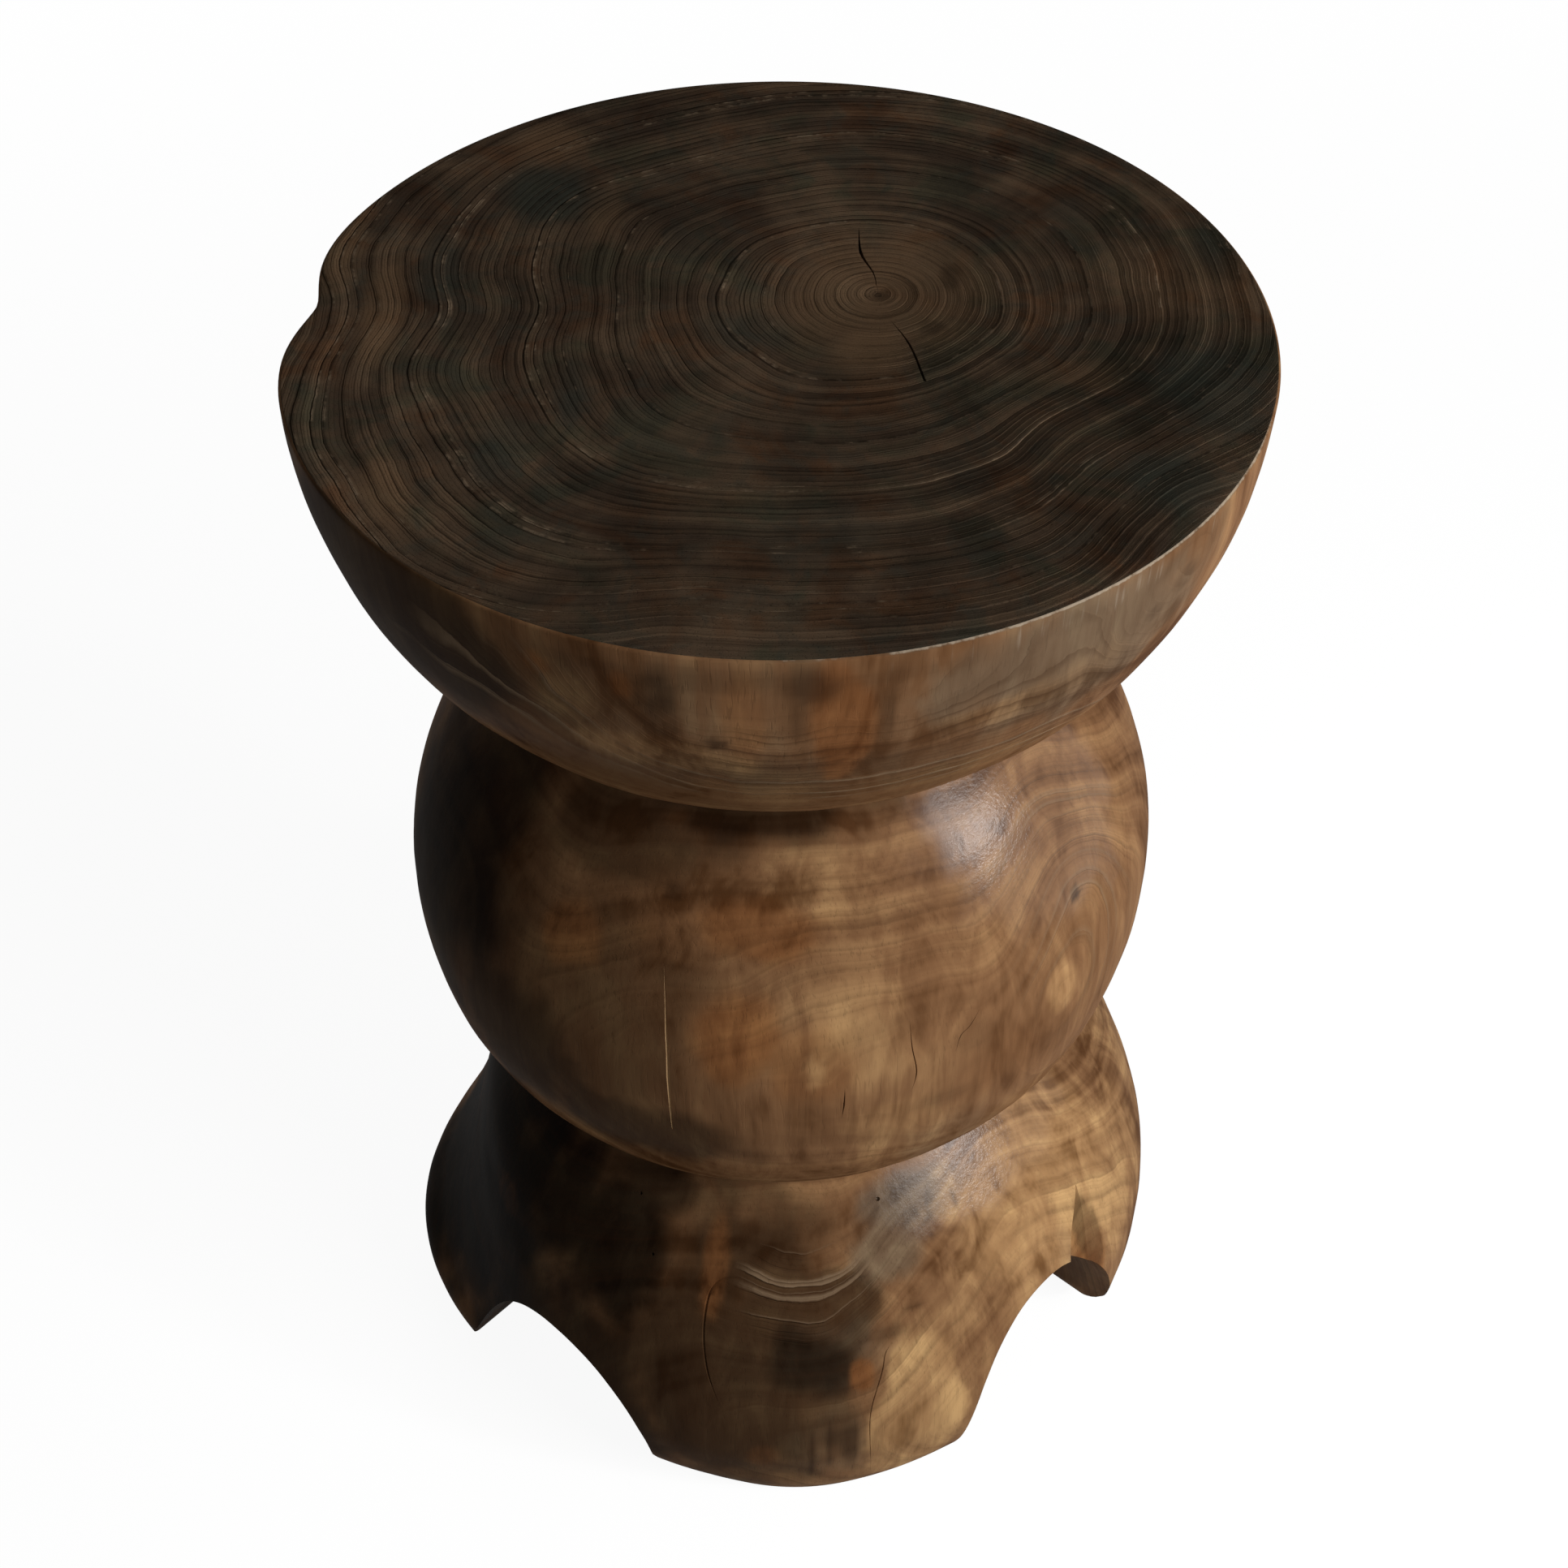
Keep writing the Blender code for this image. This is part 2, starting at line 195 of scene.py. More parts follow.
def table_curve(table: Sequence[Row], position: Array) -> Array:
    """Read a smooth curve through a table.

    Args:
        table: Rows of (position, value), positions rising.
        position: Where the curve is read.

    Returns:
        One value for each position.
    """
    places, values = np.array(table, dtype=float).T
    last = len(places) - 1
    position = np.clip(position, places[0], places[-1])
    low = np.clip(np.searchsorted(places, position, side="right") - 1, 0, last - 1)
    before, after = np.maximum(np.arange(last + 1) - 1, 0), np.minimum(np.arange(last + 1) + 1, last)
    slopes = (values[after] - values[before]) / (places[after] - places[before])
    width = places[low + 1] - places[low]
    t = (position - places[low]) / width
    return ((2 * t ** 3 - 3 * t ** 2 + 1) * values[low] + (t ** 3 - 2 * t ** 2 + t) * width * slopes[low]
            + (3 * t ** 2 - 2 * t ** 3) * values[low + 1] + (t ** 3 - t ** 2) * width * slopes[low + 1])


# ---------------------------------------------------------------- node tools


class Sheet:
    """A node tree being drawn up. Each method adds a node and returns its output."""

    def __init__(self, tree: Tree) -> None:
        """Keep the tree."""
        self.tree = tree

    def node(self, kind: str, **settings: object) -> bpy.types.Node:
        """Add a node and set its properties."""
        made = self.tree.nodes.new(kind)
        for key, value in settings.items():
            setattr(made, key, value)
        return made

    def plug(self, socket: Socket, value: Wire) -> None:
        """Link an output to a socket, or set the socket's own value."""
        if isinstance(value, Socket):
            self.tree.links.new(value, socket)
        else:
            socket.default_value = value

    def feed(self, node: bpy.types.Node, values: dict[str | int, Wire]) -> bpy.types.Node:
        """Plug each value into the node's input of that name or number."""
        for key, value in values.items():
            self.plug(node.inputs[key], value)
        return node

    def math(self, operation: str, *values: Wire) -> Socket:
        """Add a Math node."""
        made = self.node("ShaderNodeMath", operation=operation)
        return self.feed(made, dict(enumerate(values))).outputs[0]

    def times(self, a: Wire, b: Wire) -> Socket:
        """Return a times b."""
        return self.math("MULTIPLY", a, b)

    def blend_in(self, a: Wire, share: Wire, b: Wire) -> Socket:
        """Return a times share, plus b."""
        return self.math("MULTIPLY_ADD", a, share, b)

    def ramp(self, value: Wire, low: Wire, high: Wire, start: Wire = 0.0,
             end: Wire = 1.0) -> Socket:
        """Add a smooth Map Range from low..high to start..end."""
        made = self.node("ShaderNodeMapRange", interpolation_type="SMOOTHSTEP")
        return self.feed(made, dict(enumerate((value, low, high, start, end)))).outputs[0]

    def mix(self, share: Wire, a: Wire, b: Wire, blend: str = "MIX") -> Socket:
        """Add a colour Mix node."""
        made = self.node("ShaderNodeMix", data_type="RGBA", blend_type=blend, clamp_factor=True)
        self.plug(made.inputs["Factor"], share)
        for socket, colour in zip([s for s in made.inputs if s.type == "RGBA"], (a, b)):
            self.plug(socket, colour)
        return next(s for s in made.outputs if s.type == "RGBA")

    def stretched(self, where: Wire, rise: float) -> Socket:
        """Add a Mapping node that draws a pattern out up the log, by scaling the height."""
        made = self.node("ShaderNodeMapping")
        return self.feed(made, {"Vector": where, "Scale": (1.0, 1.0, rise)}).outputs[0]

    def noise(self, where: Wire, scale: float, detail: float = 2.0, roughness: float = 0.5,
              warp: float = 0.0) -> Socket:
        """Add a 3-D noise and return its value."""
        return self.feed(self.node("ShaderNodeTexNoise"), {
            "Vector": where, "Scale": scale, "Detail": detail, "Roughness": roughness,
            "Distortion": warp}).outputs[0]

    def line_noise(self, place: Wire, scale: float, detail: float = 1.0) -> Socket:
        """Add a 1-D noise along a value."""
        made = self.node("ShaderNodeTexNoise", noise_dimensions="1D")
        return self.feed(made, {"W": place, "Scale": scale, "Detail": detail}).outputs[0]

    def dice(self, place: Wire) -> Socket:
        """Add a 1-D white noise: one even random value for each whole number."""
        made = self.node("ShaderNodeTexWhiteNoise", noise_dimensions="1D")
        return self.feed(made, {"W": place}).outputs["Value"]

    def mask(self, kept: Tint | str) -> Socket:
        """Read a value kept on the mesh."""
        name = kept.value if isinstance(kept, Tint) else kept
        return self.node("ShaderNodeAttribute", attribute_name=name).outputs["Fac"]

    def position(self) -> Socket:
        """Read the place on the piece, in metres."""
        return self.node("ShaderNodeTexCoord").outputs["Object"]

    def bump(self, height: Wire, depth: float, normal: Socket | None = None) -> Socket:
        """Add a Bump node of a depth in metres."""
        made = self.feed(self.node("ShaderNodeBump"), {"Height": height, "Distance": depth})
        if normal is not None:
            self.plug(made.inputs["Normal"], normal)
        return made.outputs[0]

    def group(self, tree: Tree, **values: Wire) -> bpy.types.NodeOutputs:
        """Place a node group, feed its named inputs and return its outputs."""
        made = self.node("ShaderNodeGroup", node_tree=tree)
        return self.feed(made, values).outputs


def rgb(code: str) -> tuple[float, float, float, float]:
    """Turn a screen colour such as 8a6743 into the linear colour that a shader takes."""
    parts = [int(code[i:i + 2], 16) / 255.0 for i in (0, 2, 4)]
    return tuple(p / 12.92 if p <= 0.04045 else ((p + 0.055) / 1.055) ** 2.4 for p in parts) + (1.0,)


class Effect:
    """A shader group being drawn up, with named inputs and outputs."""

    def __init__(self, name: str, inputs: dict[str, str], outputs: Sequence[str]) -> None:
        """Make the empty group.

        Args:
            name: The group's name.
            inputs: Each input's name and kind, Float or Vector.
            outputs: Names of the float outputs.
        """
        self.tree = bpy.data.node_groups.new(name, "ShaderNodeTree")
        for label, kind in inputs.items():
            self.tree.interface.new_socket(name=label, in_out="INPUT", socket_type=f"NodeSocket{kind}")
        for label in outputs:
            self.tree.interface.new_socket(name=label, in_out="OUTPUT", socket_type="NodeSocketFloat")
        self.sheet = Sheet(self.tree)
        self.given = self.sheet.node("NodeGroupInput").outputs

    def finish(self, values: dict[str, Wire]) -> Tree:
        """Feed the outputs and return the group."""
        self.sheet.feed(self.sheet.node("NodeGroupOutput"), values)
        return self.tree


def ring_group() -> Tree:
    """Make the growth-ring effect: bands that darken slowly and end sharply.

    Returns:
        The group. Distances and widths are in millimetres.
    """
    effect = Effect("growth_rings", {"Distance": "Float", "Width": "Float", "Wander": "Float"},
                    ("Line", "Shade", "Height"))
    sheet, distance = effect.sheet, effect.given["Distance"]
    drift = sheet.blend_in(sheet.line_noise(distance, 0.11), effect.given["Wander"], distance)
    count = sheet.math("DIVIDE", drift, effect.given["Width"])
    rise, whole = sheet.math("FRACT", count), sheet.math("FLOOR", count)
    line = sheet.times(sheet.ramp(rise, 0.45, 0.93), sheet.ramp(rise, 0.95, 1.0, 1.0, 0.0))
    weight = sheet.ramp(sheet.dice(sheet.math("ADD", whole, 37.0)), 0.0, 1.0, 0.25, 1.0)
    height = sheet.math("SUBTRACT", rise, sheet.ramp(rise, 0.93, 1.0))
    return effect.finish({"Line": sheet.times(line, weight), "Shade": sheet.dice(whole),
                          "Height": sheet.times(height, weight)})


def figure_group(rings: Tree) -> Tree:
    """Make the log's figure: growth rings at three widths along one wandering distance.

    Args:
        rings: The growth-ring group.

    Returns:
        The group.
    """
    effect = Effect("log_figure", {"Ring": "Float", "Position": "Vector"},
                    ("Wide", "Middle", "Fine", "Shade", "Flow", "Relief"))
    sheet, where = effect.sheet, effect.given["Position"]
    distance = sheet.times(effect.given["Ring"], 1000.0)
    for scale, millimetres in ((55.0, 1.4), (260.0, 0.30)):
        swell = sheet.math("SUBTRACT", sheet.noise(where, scale), 0.5)
        distance = sheet.blend_in(swell, millimetres, distance)
    wide, middle, fine = (sheet.group(rings, Distance=distance, Width=width, Wander=wander_by)
                          for width, wander_by in ((6.4, 9.0), (2.3, 4.0), (0.8, 2.2)))
    relief = sheet.blend_in(fine["Height"], 0.40, middle["Height"])
    return effect.finish({
        "Wide": wide["Line"], "Middle": middle["Line"], "Fine": fine["Line"], "Shade": middle["Shade"],
        "Flow": sheet.line_noise(distance, 0.16, 2.0), "Relief": sheet.blend_in(wide["Height"], 0.7, relief)})


def fibre_group() -> Tree:
    """Make the fibre effect: long streaks up the log and short open pores.

    Returns:
        The group.
    """
    effect = Effect("fibres", {"Position": "Vector"}, ("Streak", "Pore", "Cloud", "Tongue"))
    sheet = effect.sheet
    long, short, tongue, cloud = (sheet.stretched(effect.given["Position"], rise)
                                  for rise in (0.035, 0.09, 0.22, 0.45))
    return effect.finish({
        "Streak": sheet.noise(long, 420.0, 3.0, 0.6),
        "Pore": sheet.ramp(sheet.noise(short, 1150.0, 1.0), 0.60, 0.72),
        "Cloud": sheet.noise(cloud, 24.0, 4.0, 0.6, 0.4),
        "Tongue": sheet.ramp(sheet.noise(tongue, 75.0, 3.0, 0.6, 0.8), 0.30, 0.70)})


# ---------------------------------------------------------------- camera and studio


@dataclass(frozen=True)
class StudioCamera:
    """The view of the stool: place, aim and lens, from one fitted perspective."""

    size: float = 1932.0
    focal: float = 2997.07
    centre_right: float = -32.13
    centre_down: float = 9.68
    away: float = 1.3899
    height: float = 1.9452
    pitch: float = 0.7852
    roll: float = -0.0134
    yaw: float = -0.0126
    turn: float = 42.0
    unit: float = 0.450

    sensor: float = 36.0

    def build(self) -> None:
        """Make the scene's camera."""
        aim = Vector((math.sin(self.yaw) * math.cos(self.pitch), math.cos(self.yaw) * math.cos(self.pitch),
                      -math.sin(self.pitch)))
        right = aim.cross(Vector((0.0, 0.0, 1.0))).normalized()
        up = right.cross(aim)
        tilted_right = math.cos(self.roll) * right + math.sin(self.roll) * up
        tilted_up = math.cos(self.roll) * up - math.sin(self.roll) * right
        axes = Matrix((tilted_right, tilted_up, -aim)).transposed().to_4x4()
        swing = Matrix.Rotation(math.radians(self.turn), 4, "Z")
        spot = Vector((0.0, -self.away, self.height)) * self.unit
        data = bpy.data.cameras.new("studio_camera")
        data.sensor_width = self.sensor
        data.lens = self.focal / self.size * self.sensor
        data.shift_x = -self.centre_right / self.size
        data.shift_y = self.centre_down / self.size
        data.clip_start, data.clip_end = 0.01, 50.0
        camera = bpy.data.objects.new("studio_camera", data)
        bpy.context.scene.collection.objects.link(camera)
        camera.matrix_world = swing @ Matrix.Translation(spot) @ axes
        bpy.context.scene.camera = camera


@dataclass(frozen=True)
class Softbox:
    """One square studio lamp that faces the stool."""

    name: str
    degrees: float
    elevation: float
    distance: float
    size: float
    level: float
    aim_height: float = 0.22

    def build(self) -> None:
        """Make the lamp. Level 1 lights a facing surface at its own colour."""
        data = bpy.data.lights.new(self.name, "AREA")
        data.shape = "SQUARE"
        data.size = self.size
        data.energy = self.level * (math.pi * self.distance) ** 2
        lamp = bpy.data.objects.new(self.name, data)
        turn, rise = math.radians(self.degrees), math.radians(self.elevation)
        away = Vector((math.sin(turn) * math.cos(rise), -math.cos(turn) * math.cos(rise), math.sin(rise)))
        lamp.location = away * self.distance + Vector((0.0, 0.0, self.aim_height))
        lamp.rotation_euler = away.to_track_quat("Z", "Y").to_euler()
        bpy.context.scene.collection.objects.link(lamp)


@dataclass
class Studio:
    """Pale floor, white surround and soft lamps."""

    lamps: tuple[Softbox, ...] = (
        Softbox("window_lamp", 93.0, 30.0, 1.15, 0.55, 0.66),
        Softbox("polish_lamp", 108.0, 22.0, 1.60, 0.20, 0.34),
        Softbox("back_lamp", 228.0, 6.0, 2.40, 1.20, 0.40),
    )
    floor_size: float = 30.0
    floor_tone: tuple[float, ...] = (0.55, 0.55, 0.54, 1.0)
    shadow_share: float = 0.11
    glow_loss: float = 0.6
    shadow_near: float = 0.5
    shadow_far: float = 1.6
    ambient: float = 0.10

    def build(self) -> None:
        """Make the lamps, the floor and the surround."""
        bpy.context.scene.view_settings.view_transform = "Standard"
        for lamp in self.lamps:
            lamp.build()
        self.build_world()
        self.build_floor()

    def seen_rays(self, sheet: Sheet) -> Socket:
        """Return 1 for camera, glossy and transmission rays, which see the white surround."""
        path = sheet.node("ShaderNodeLightPath").outputs
        seen = sheet.math("MAXIMUM", path["Is Camera Ray"], path["Is Glossy Ray"])
        return sheet.math("MAXIMUM", seen, path["Is Transmission Ray"])

    def build_world(self) -> None:
        """Make the surround white to the eye and dim as a light."""
        world = bpy.data.worlds.new("studio_surround")
        bpy.context.scene.world = world
        world.use_nodes = True
        world.node_tree.nodes.clear()
        sheet = Sheet(world.node_tree)
        strength = sheet.blend_in(self.seen_rays(sheet), 1.0 - self.ambient, self.ambient)
        light = sheet.feed(sheet.node("ShaderNodeBackground"), {"Color": rgb("ffffff"), "Strength": strength})
        sheet.feed(sheet.node("ShaderNodeOutputWorld"), {"Surface": light.outputs[0]})

    def build_floor(self) -> None:
        """Make the floor: white to the eye with a faint shadow, pale grey to other rays."""
        bpy.ops.object.select_all(action="DESELECT")
        bpy.ops.mesh.primitive_plane_add(size=self.floor_size)
        floor = bpy.context.active_object
        floor.name = floor.data.name = "studio_floor"
        material = bpy.data.materials.new("pale_floor")
        material.use_nodes = True
        material.node_tree.nodes.clear()
        sheet = Sheet(material.node_tree)
        spot = sheet.feed(sheet.node("ShaderNodeVectorMath", operation="LENGTH"), {0: sheet.position()})
        near = sheet.ramp(spot.outputs["Value"], self.shadow_near, self.shadow_far, 1.0, 0.0)
        dimmed = sheet.blend_in(near, -self.glow_loss * self.shadow_share, 1.0)
        glow = sheet.feed(sheet.node("ShaderNodeEmission"), {"Color": rgb("ffffff"), "Strength": dimmed})
        grey = sheet.mix(near, rgb("000000"), (self.shadow_share,) * 3 + (1.0,))
        shade = sheet.feed(sheet.node("ShaderNodeBsdfDiffuse"), {"Color": grey})
        both = sheet.feed(sheet.node("ShaderNodeAddShader"), {0: glow.outputs[0], 1: shade.outputs[0]})
        plain = sheet.feed(sheet.node("ShaderNodeBsdfDiffuse"), {"Color": self.floor_tone})
        choice = sheet.feed(sheet.node("ShaderNodeMixShader"), {
            0: self.seen_rays(sheet), 1: plain.outputs[0], 2: both.outputs[0]})
        sheet.feed(sheet.node("ShaderNodeOutputMaterial"), {"Surface": choice.outputs[0]})
        floor.data.materials.append(material)


# ---------------------------------------------------------------- the block's form


@dataclass(frozen=True)
class BlockForm:
    """Outline of the block: three lobes that meet in two sharp creases."""

    height: float = 0.450
    seat_radius: float = 0.152
    rim_round: float = 0.0012
    foot_clearance: float = 0.0030
    bowl_depth: float = 0.1278
    bowl_depth_lean: float = 0.0026
    bowl_fullness: float = 2.73
    bowl_fullness_lean: float = -0.24
    ball_radius: float = 0.1338
    ball_middle: float = 0.2367
    ball_middle_lean: float = 0.0033
    ball_upper_half: float = 0.1263
    ball_lower_half: float = 0.1161
    ball_lower_half_lean: float = 0.0027
    ball_upper_power: float = 1.88
    ball_lower_power: float = 2.43
    high_side: float = 132.0
    base_profile: tuple[Row, ...] = (
        (0.00, 0.299), (0.03, 0.312), (0.06, 0.318), (0.10, 0.324), (0.15, 0.321),
        (0.20, 0.307), (0.25, 0.285), (0.30, 0.247), (0.36, 0.190), (0.42, 0.120))
    splayed_foot: tuple[Row, ...] = (
        (0.00, 0.041), (0.03, 0.036), (0.06, 0.009), (0.10, -0.018), (0.15, -0.033),
        (0.20, -0.031), (0.25, -0.023), (0.30, -0.016), (0.36, -0.011), (0.42, -0.009))
    splayed_foot_degrees: float = -48.0
    splayed_foot_power: float = 3.0
    base_shift: float = 0.0060
    base_shift_degrees: float = 78.0
    corner_round: float = 0.0130
    corner_height: float = 0.030
    notch_depth: float = 0.0082
    notch_degrees: float = -54.0
    notch_spread: float = 8.0
    notch_power: float = 1.6
    notch_fade: float = 0.090
    halvings: int = 36

    def side(self, azimuth: Array) -> Array:
        """Return +1 on the block's high side and -1 on the opposite side."""
        return np.cos(azimuth - math.radians(self.high_side))

    def base(self, height: Array, azimuth: Array) -> Array:
        """Return the base dome's radius.

        Args:
            height: Heights over the floor.
            azimuth: Directions in radians.
        """
        share = height / self.height
        near = np.maximum(0.0, np.cos(azimuth - math.radians(self.splayed_foot_degrees)))
        radius = table_curve(self.base_profile, share)
        radius = radius + table_curve(self.splayed_foot, share) * near ** self.splayed_foot_power
        shift = self.base_shift * np.cos(azimuth - math.radians(self.base_shift_degrees))
        mouth = 0.5 + 0.5 * np.cos(4.0 * azimuth)
        fade = np.maximum(0.0, 1.0 - height / self.corner_height) ** 2
        return radius * self.height + shift - self.corner_round * mouth * fade

    def ball(self, height: Array, azimuth: Array) -> Array:
        """Return the ball's radius.

        Args:
            height: Heights over the floor.
            azimuth: Directions in radians.
        """
        side = self.side(azimuth)
        middle = self.ball_middle + self.ball_middle_lean * side
        above = height > middle
        lower_half = self.ball_lower_half + self.ball_lower_half_lean * side
        half = np.where(above, self.ball_upper_half, lower_half)
        power = np.where(above, self.ball_upper_power, self.ball_lower_power)
        reach = np.minimum(1.0, np.abs(height - middle) / half)
        return self.ball_radius * np.sqrt(1.0 - reach ** power)

    def bowl(self, height: Array, azimuth: Array) -> Array:
        """Return the bowl's radius, with the natural hollow in its edge.

        Args:
            height: Heights over the floor.
            azimuth: Directions in radians.
        """
        side = self.side(azimuth)
        depth = self.bowl_depth + self.bowl_depth_lean * side
        fullness = self.bowl_fullness + self.bowl_fullness_lean * side
        reach = np.minimum(1.0, (self.height - height) / depth)
        turn = np.degrees(azimuth) - self.notch_degrees
        turn = np.abs((turn + 180.0) % 360.0 - 180.0) / self.notch_spread
        fade = np.maximum(0.0, 1.0 - (self.height - height) / self.notch_fade)
        notch = self.notch_depth * np.exp(-turn ** self.notch_power) * fade
        return self.seat_radius * (1.0 - reach ** 2) ** (1.0 / fullness) - notch

    def crease(self, lower: Callable, upper: Callable, azimuth: Array, low: float,
               high: float) -> Array:
        """Find the heights where the upper lobe comes out past the lower one.

        Args:
            lower: Gives the lower lobe's radius.
            upper: Gives the upper lobe's radius.
            azimuth: Where the crease is wanted, in radians.
            low: A height below the crease.
            high: A height above it.

        Returns:
            One height for each azimuth.
        """
        under, over = np.full_like(azimuth, low), np.full_like(azimuth, high)
        for _ in range(self.halvings):
            middle = 0.5 * (under + over)
            out = upper(middle, azimuth) > lower(middle, azimuth)
            over, under = np.where(out, middle, over), np.where(out, under, middle)
        return 0.5 * (under + over)

    def outer_radius(self, height: Array, azimuth: Array) -> Array:
        """Return the radius of whichever lobe stands out furthest.

        Args:
            height: Heights over the floor.
            azimuth: Directions in radians.
        """
        height = np.clip(height, 0.0, self.height)
        low_end = np.where(height < self.ball_middle, self.base(height, azimuth), 0.0)
        ball = np.where(height > self.ball_middle - self.ball_lower_half, self.ball(height, azimuth), 0.0)
        bowl = np.where(height > self.height - self.bowl_depth, self.bowl(height, azimuth), 0.0)
        return np.maximum(np.maximum(low_end, ball), bowl)


@dataclass(frozen=True)
class ArchMouth:
    """One mouth of a tunnel: flank widths (with their foot rounding), height and crown lean."""

    plus: tuple[float, float]
    minus: tuple[float, float]
    height: float
    lean: float


@dataclass
class ArchTunnel:
    """A tunnel that flares toward both mouths and rounds the feet beside it."""

    name: str
    forward: Vector
    sideways: Vector
    ahead: ArchMouth
    behind: ArchMouth
    half_width: float = 0.0450
    height: float = 0.0600
    reach: float = 0.162
    mouth_distance: float = 0.1395
    flare: float = 2.0
    power: float = 2.15
    toe_height: float = 0.0150
    toe_inner_share: float = 0.15
    floor_gap: float = 0.0030
    below: float = 0.0050
    sections: int = 96
    toe_steps: int = 7
    arch_steps: int = 64
    arch_skip: int = 5

    def section(self, reach: float) -> list[tuple[float, float]]:
        """Return one cross-section as (sideways, height) points.

        Args:
            reach: Distance along the tunnel from the log's middle.
        """
        mouth = self.ahead if reach >= 0.0 else self.behind
        grow = (abs(reach) / self.mouth_distance) ** self.flare
        height = self.height + (mouth.height - self.height) * grow
        lean = mouth.lean * grow

        def half(flank: tuple[float, float]) -> float:
            """Return the half width toward one flank."""
            return self.half_width + (flank[0] - self.half_width) * grow

        def leant(up: float) -> float:
            """Return how far the leaning crown moves a point sideways."""
            return lean * (1.0 - (1.0 - max(0.0, up) / height) ** 2)

        def toe(side: float, flank: tuple[float, float]) -> list[tuple[float, float]]:
            """Return the rounded foot edge on one side, floor upward."""
            share = min(1.0, max(self.toe_inner_share, grow))
            points = [(side * (half(flank) + flank[1] * share), -self.below)]
            for i in range(self.toe_steps + 1):
                turn = 0.5 * math.pi * i / self.toe_steps
                across = half(flank) + flank[1] * share * (1.0 - math.sin(turn))
                up = self.floor_gap + self.toe_height * share * (1.0 - math.cos(turn))
                points.append((side * across + leant(up), up))
            return points

        points = toe(1.0, mouth.plus)
        for i in range(self.arch_skip, self.arch_steps + 1 - self.arch_skip):
            turn = math.pi * i / self.arch_steps
            width = half(mouth.plus if 2 * i < self.arch_steps else mouth.minus)
            across = math.copysign(abs(math.cos(turn)) ** (2.0 / self.power), math.cos(turn))
            up = height * abs(math.sin(turn)) ** (2.0 / self.power)
            points.append((width * across + leant(up), up))
        return points + toe(-1.0, mouth.minus)[::-1]

    def build(self) -> Piece:
        """Return the tunnel as a closed cutter."""
        rows = []
        for i in range(self.sections + 1):
            reach = self.reach * (2.0 * i / self.sections - 1.0)
            rows.append([self.forward * reach + self.sideways * across + Vector((0.0, 0.0, up))
                         for across, up in self.section(reach)])
        return wrapped_grid(self.name, np.array(rows))


@dataclass
class Crevice:
    """The cleft between two root lobes above the right arch."""

    form: BlockForm
    rows: tuple[Row, ...] = (
        (0.0600, 86.5, 90.5, 98.4, 0.0075), (0.0760, 88.0, 92.0, 99.8, 0.0072),
        (0.0890, 89.6, 93.9, 100.7, 0.0062), (0.0980, 90.8, 95.4, 100.9, 0.0050),
        (0.1050, 92.4, 97.3, 100.6, 0.0030), (0.1110, 96.0, 98.6, 100.2, 0.0005))
    cover: float = 0.0100
    hollow: float = 0.92
    steps: int = 24
    across: int = 12

    def build(self) -> Piece:
        """Return the cleft as a closed cutter with softly hollowed sides."""
        rows = []
        for i in range(self.steps + 1):
            height = self.rows[0][0] + (self.rows[-1][0] - self.rows[0][0]) * i / self.steps
            left, valley, right, depth = (
                float(table_curve([(r[0], r[k]) for r in self.rows], np.array(height))) for k in (1, 2, 3, 4))
            contour = [(left, self.cover), (right, self.cover)]
            down = [(right, j / self.across) for j in range(self.across + 1)]
            up = [(left, 1.0 - j / self.across) for j in range(1, self.across)]
            for edge, share in down + up:
                out = self.cover - (self.cover + depth) * share ** self.hollow
                contour.append((edge + (valley - edge) * share, out))
            rows.append([self.point(degrees, height, out) for degrees, out in contour])
        return wrapped_grid("cut_crevice", np.array(rows))

    def point(self, degrees: float, height: float, out: float) -> tuple[float, float, float]:
        """Return a point beside the base's skin."""
        azimuth = math.radians(degrees)
        radius = float(self.form.base(np.array(height), np.array(azimuth))) + out
        return (math.sin(azimuth) * radius, -math.cos(azimuth) * radius, height)


@dataclass(frozen=True)
class DryingCheck:
    """A thin open crack along a short path on the seat or on a side.

    Each stop of the path is a place on the skin and the share of the full width there.
    """

    name: str
    path: tuple[tuple[float, float, float], ...]
    width: float
    depth: float
    on_seat: bool = True
    face: Face = Face.WAXED
    cover: float = 0.0010
    steps: int = 5

    def build(self, form: BlockForm) -> Piece:
        """Return the crack as a closed wedge.

        Args:
            form: The block, whose skin the crack opens.
        """
        spans = np.arange(len(self.path), dtype=float)
        fine = np.linspace(0.0, spans[-1], self.steps * (len(self.path) - 1) + 1)
        stops = np.array(self.path)
        first, second = (table_curve(np.column_stack([spans, stops[:, k]]), fine) for k in (0, 1))
        share = np.interp(fine, spans, stops[:, 2])
        if self.on_seat:
            line = np.stack([first * form.height, second * form.height, np.full_like(first, form.height)], 1)
            out = np.tile([0.0, 0.0, 1.0], (len(line), 1))
        else:
            azimuth, height = np.radians(first), second * form.height
            radius = form.outer_radius(height, azimuth)
            away = np.stack([np.sin(azimuth), -np.cos(azimuth), np.zeros_like(azimuth)], 1)
            line = away * radius[:, None] + np.stack([0 * height, 0 * height, height], 1)
            out = away
        along = np.gradient(line, axis=0)
        across = np.cross(along, out)
        across /= np.linalg.norm(across, axis=1, keepdims=True)
        half = (0.5 * self.width * share * (1.0 + self.cover / self.depth))[:, None]
        top = line + out * self.cover
        floor = line - out * (self.depth * np.sqrt(share))[:, None]
        wedge = wrapped_grid(self.name, np.stack([top + across * half, top - across * half, floor], 1))
        set_face(wedge, self.face)
        return wedge


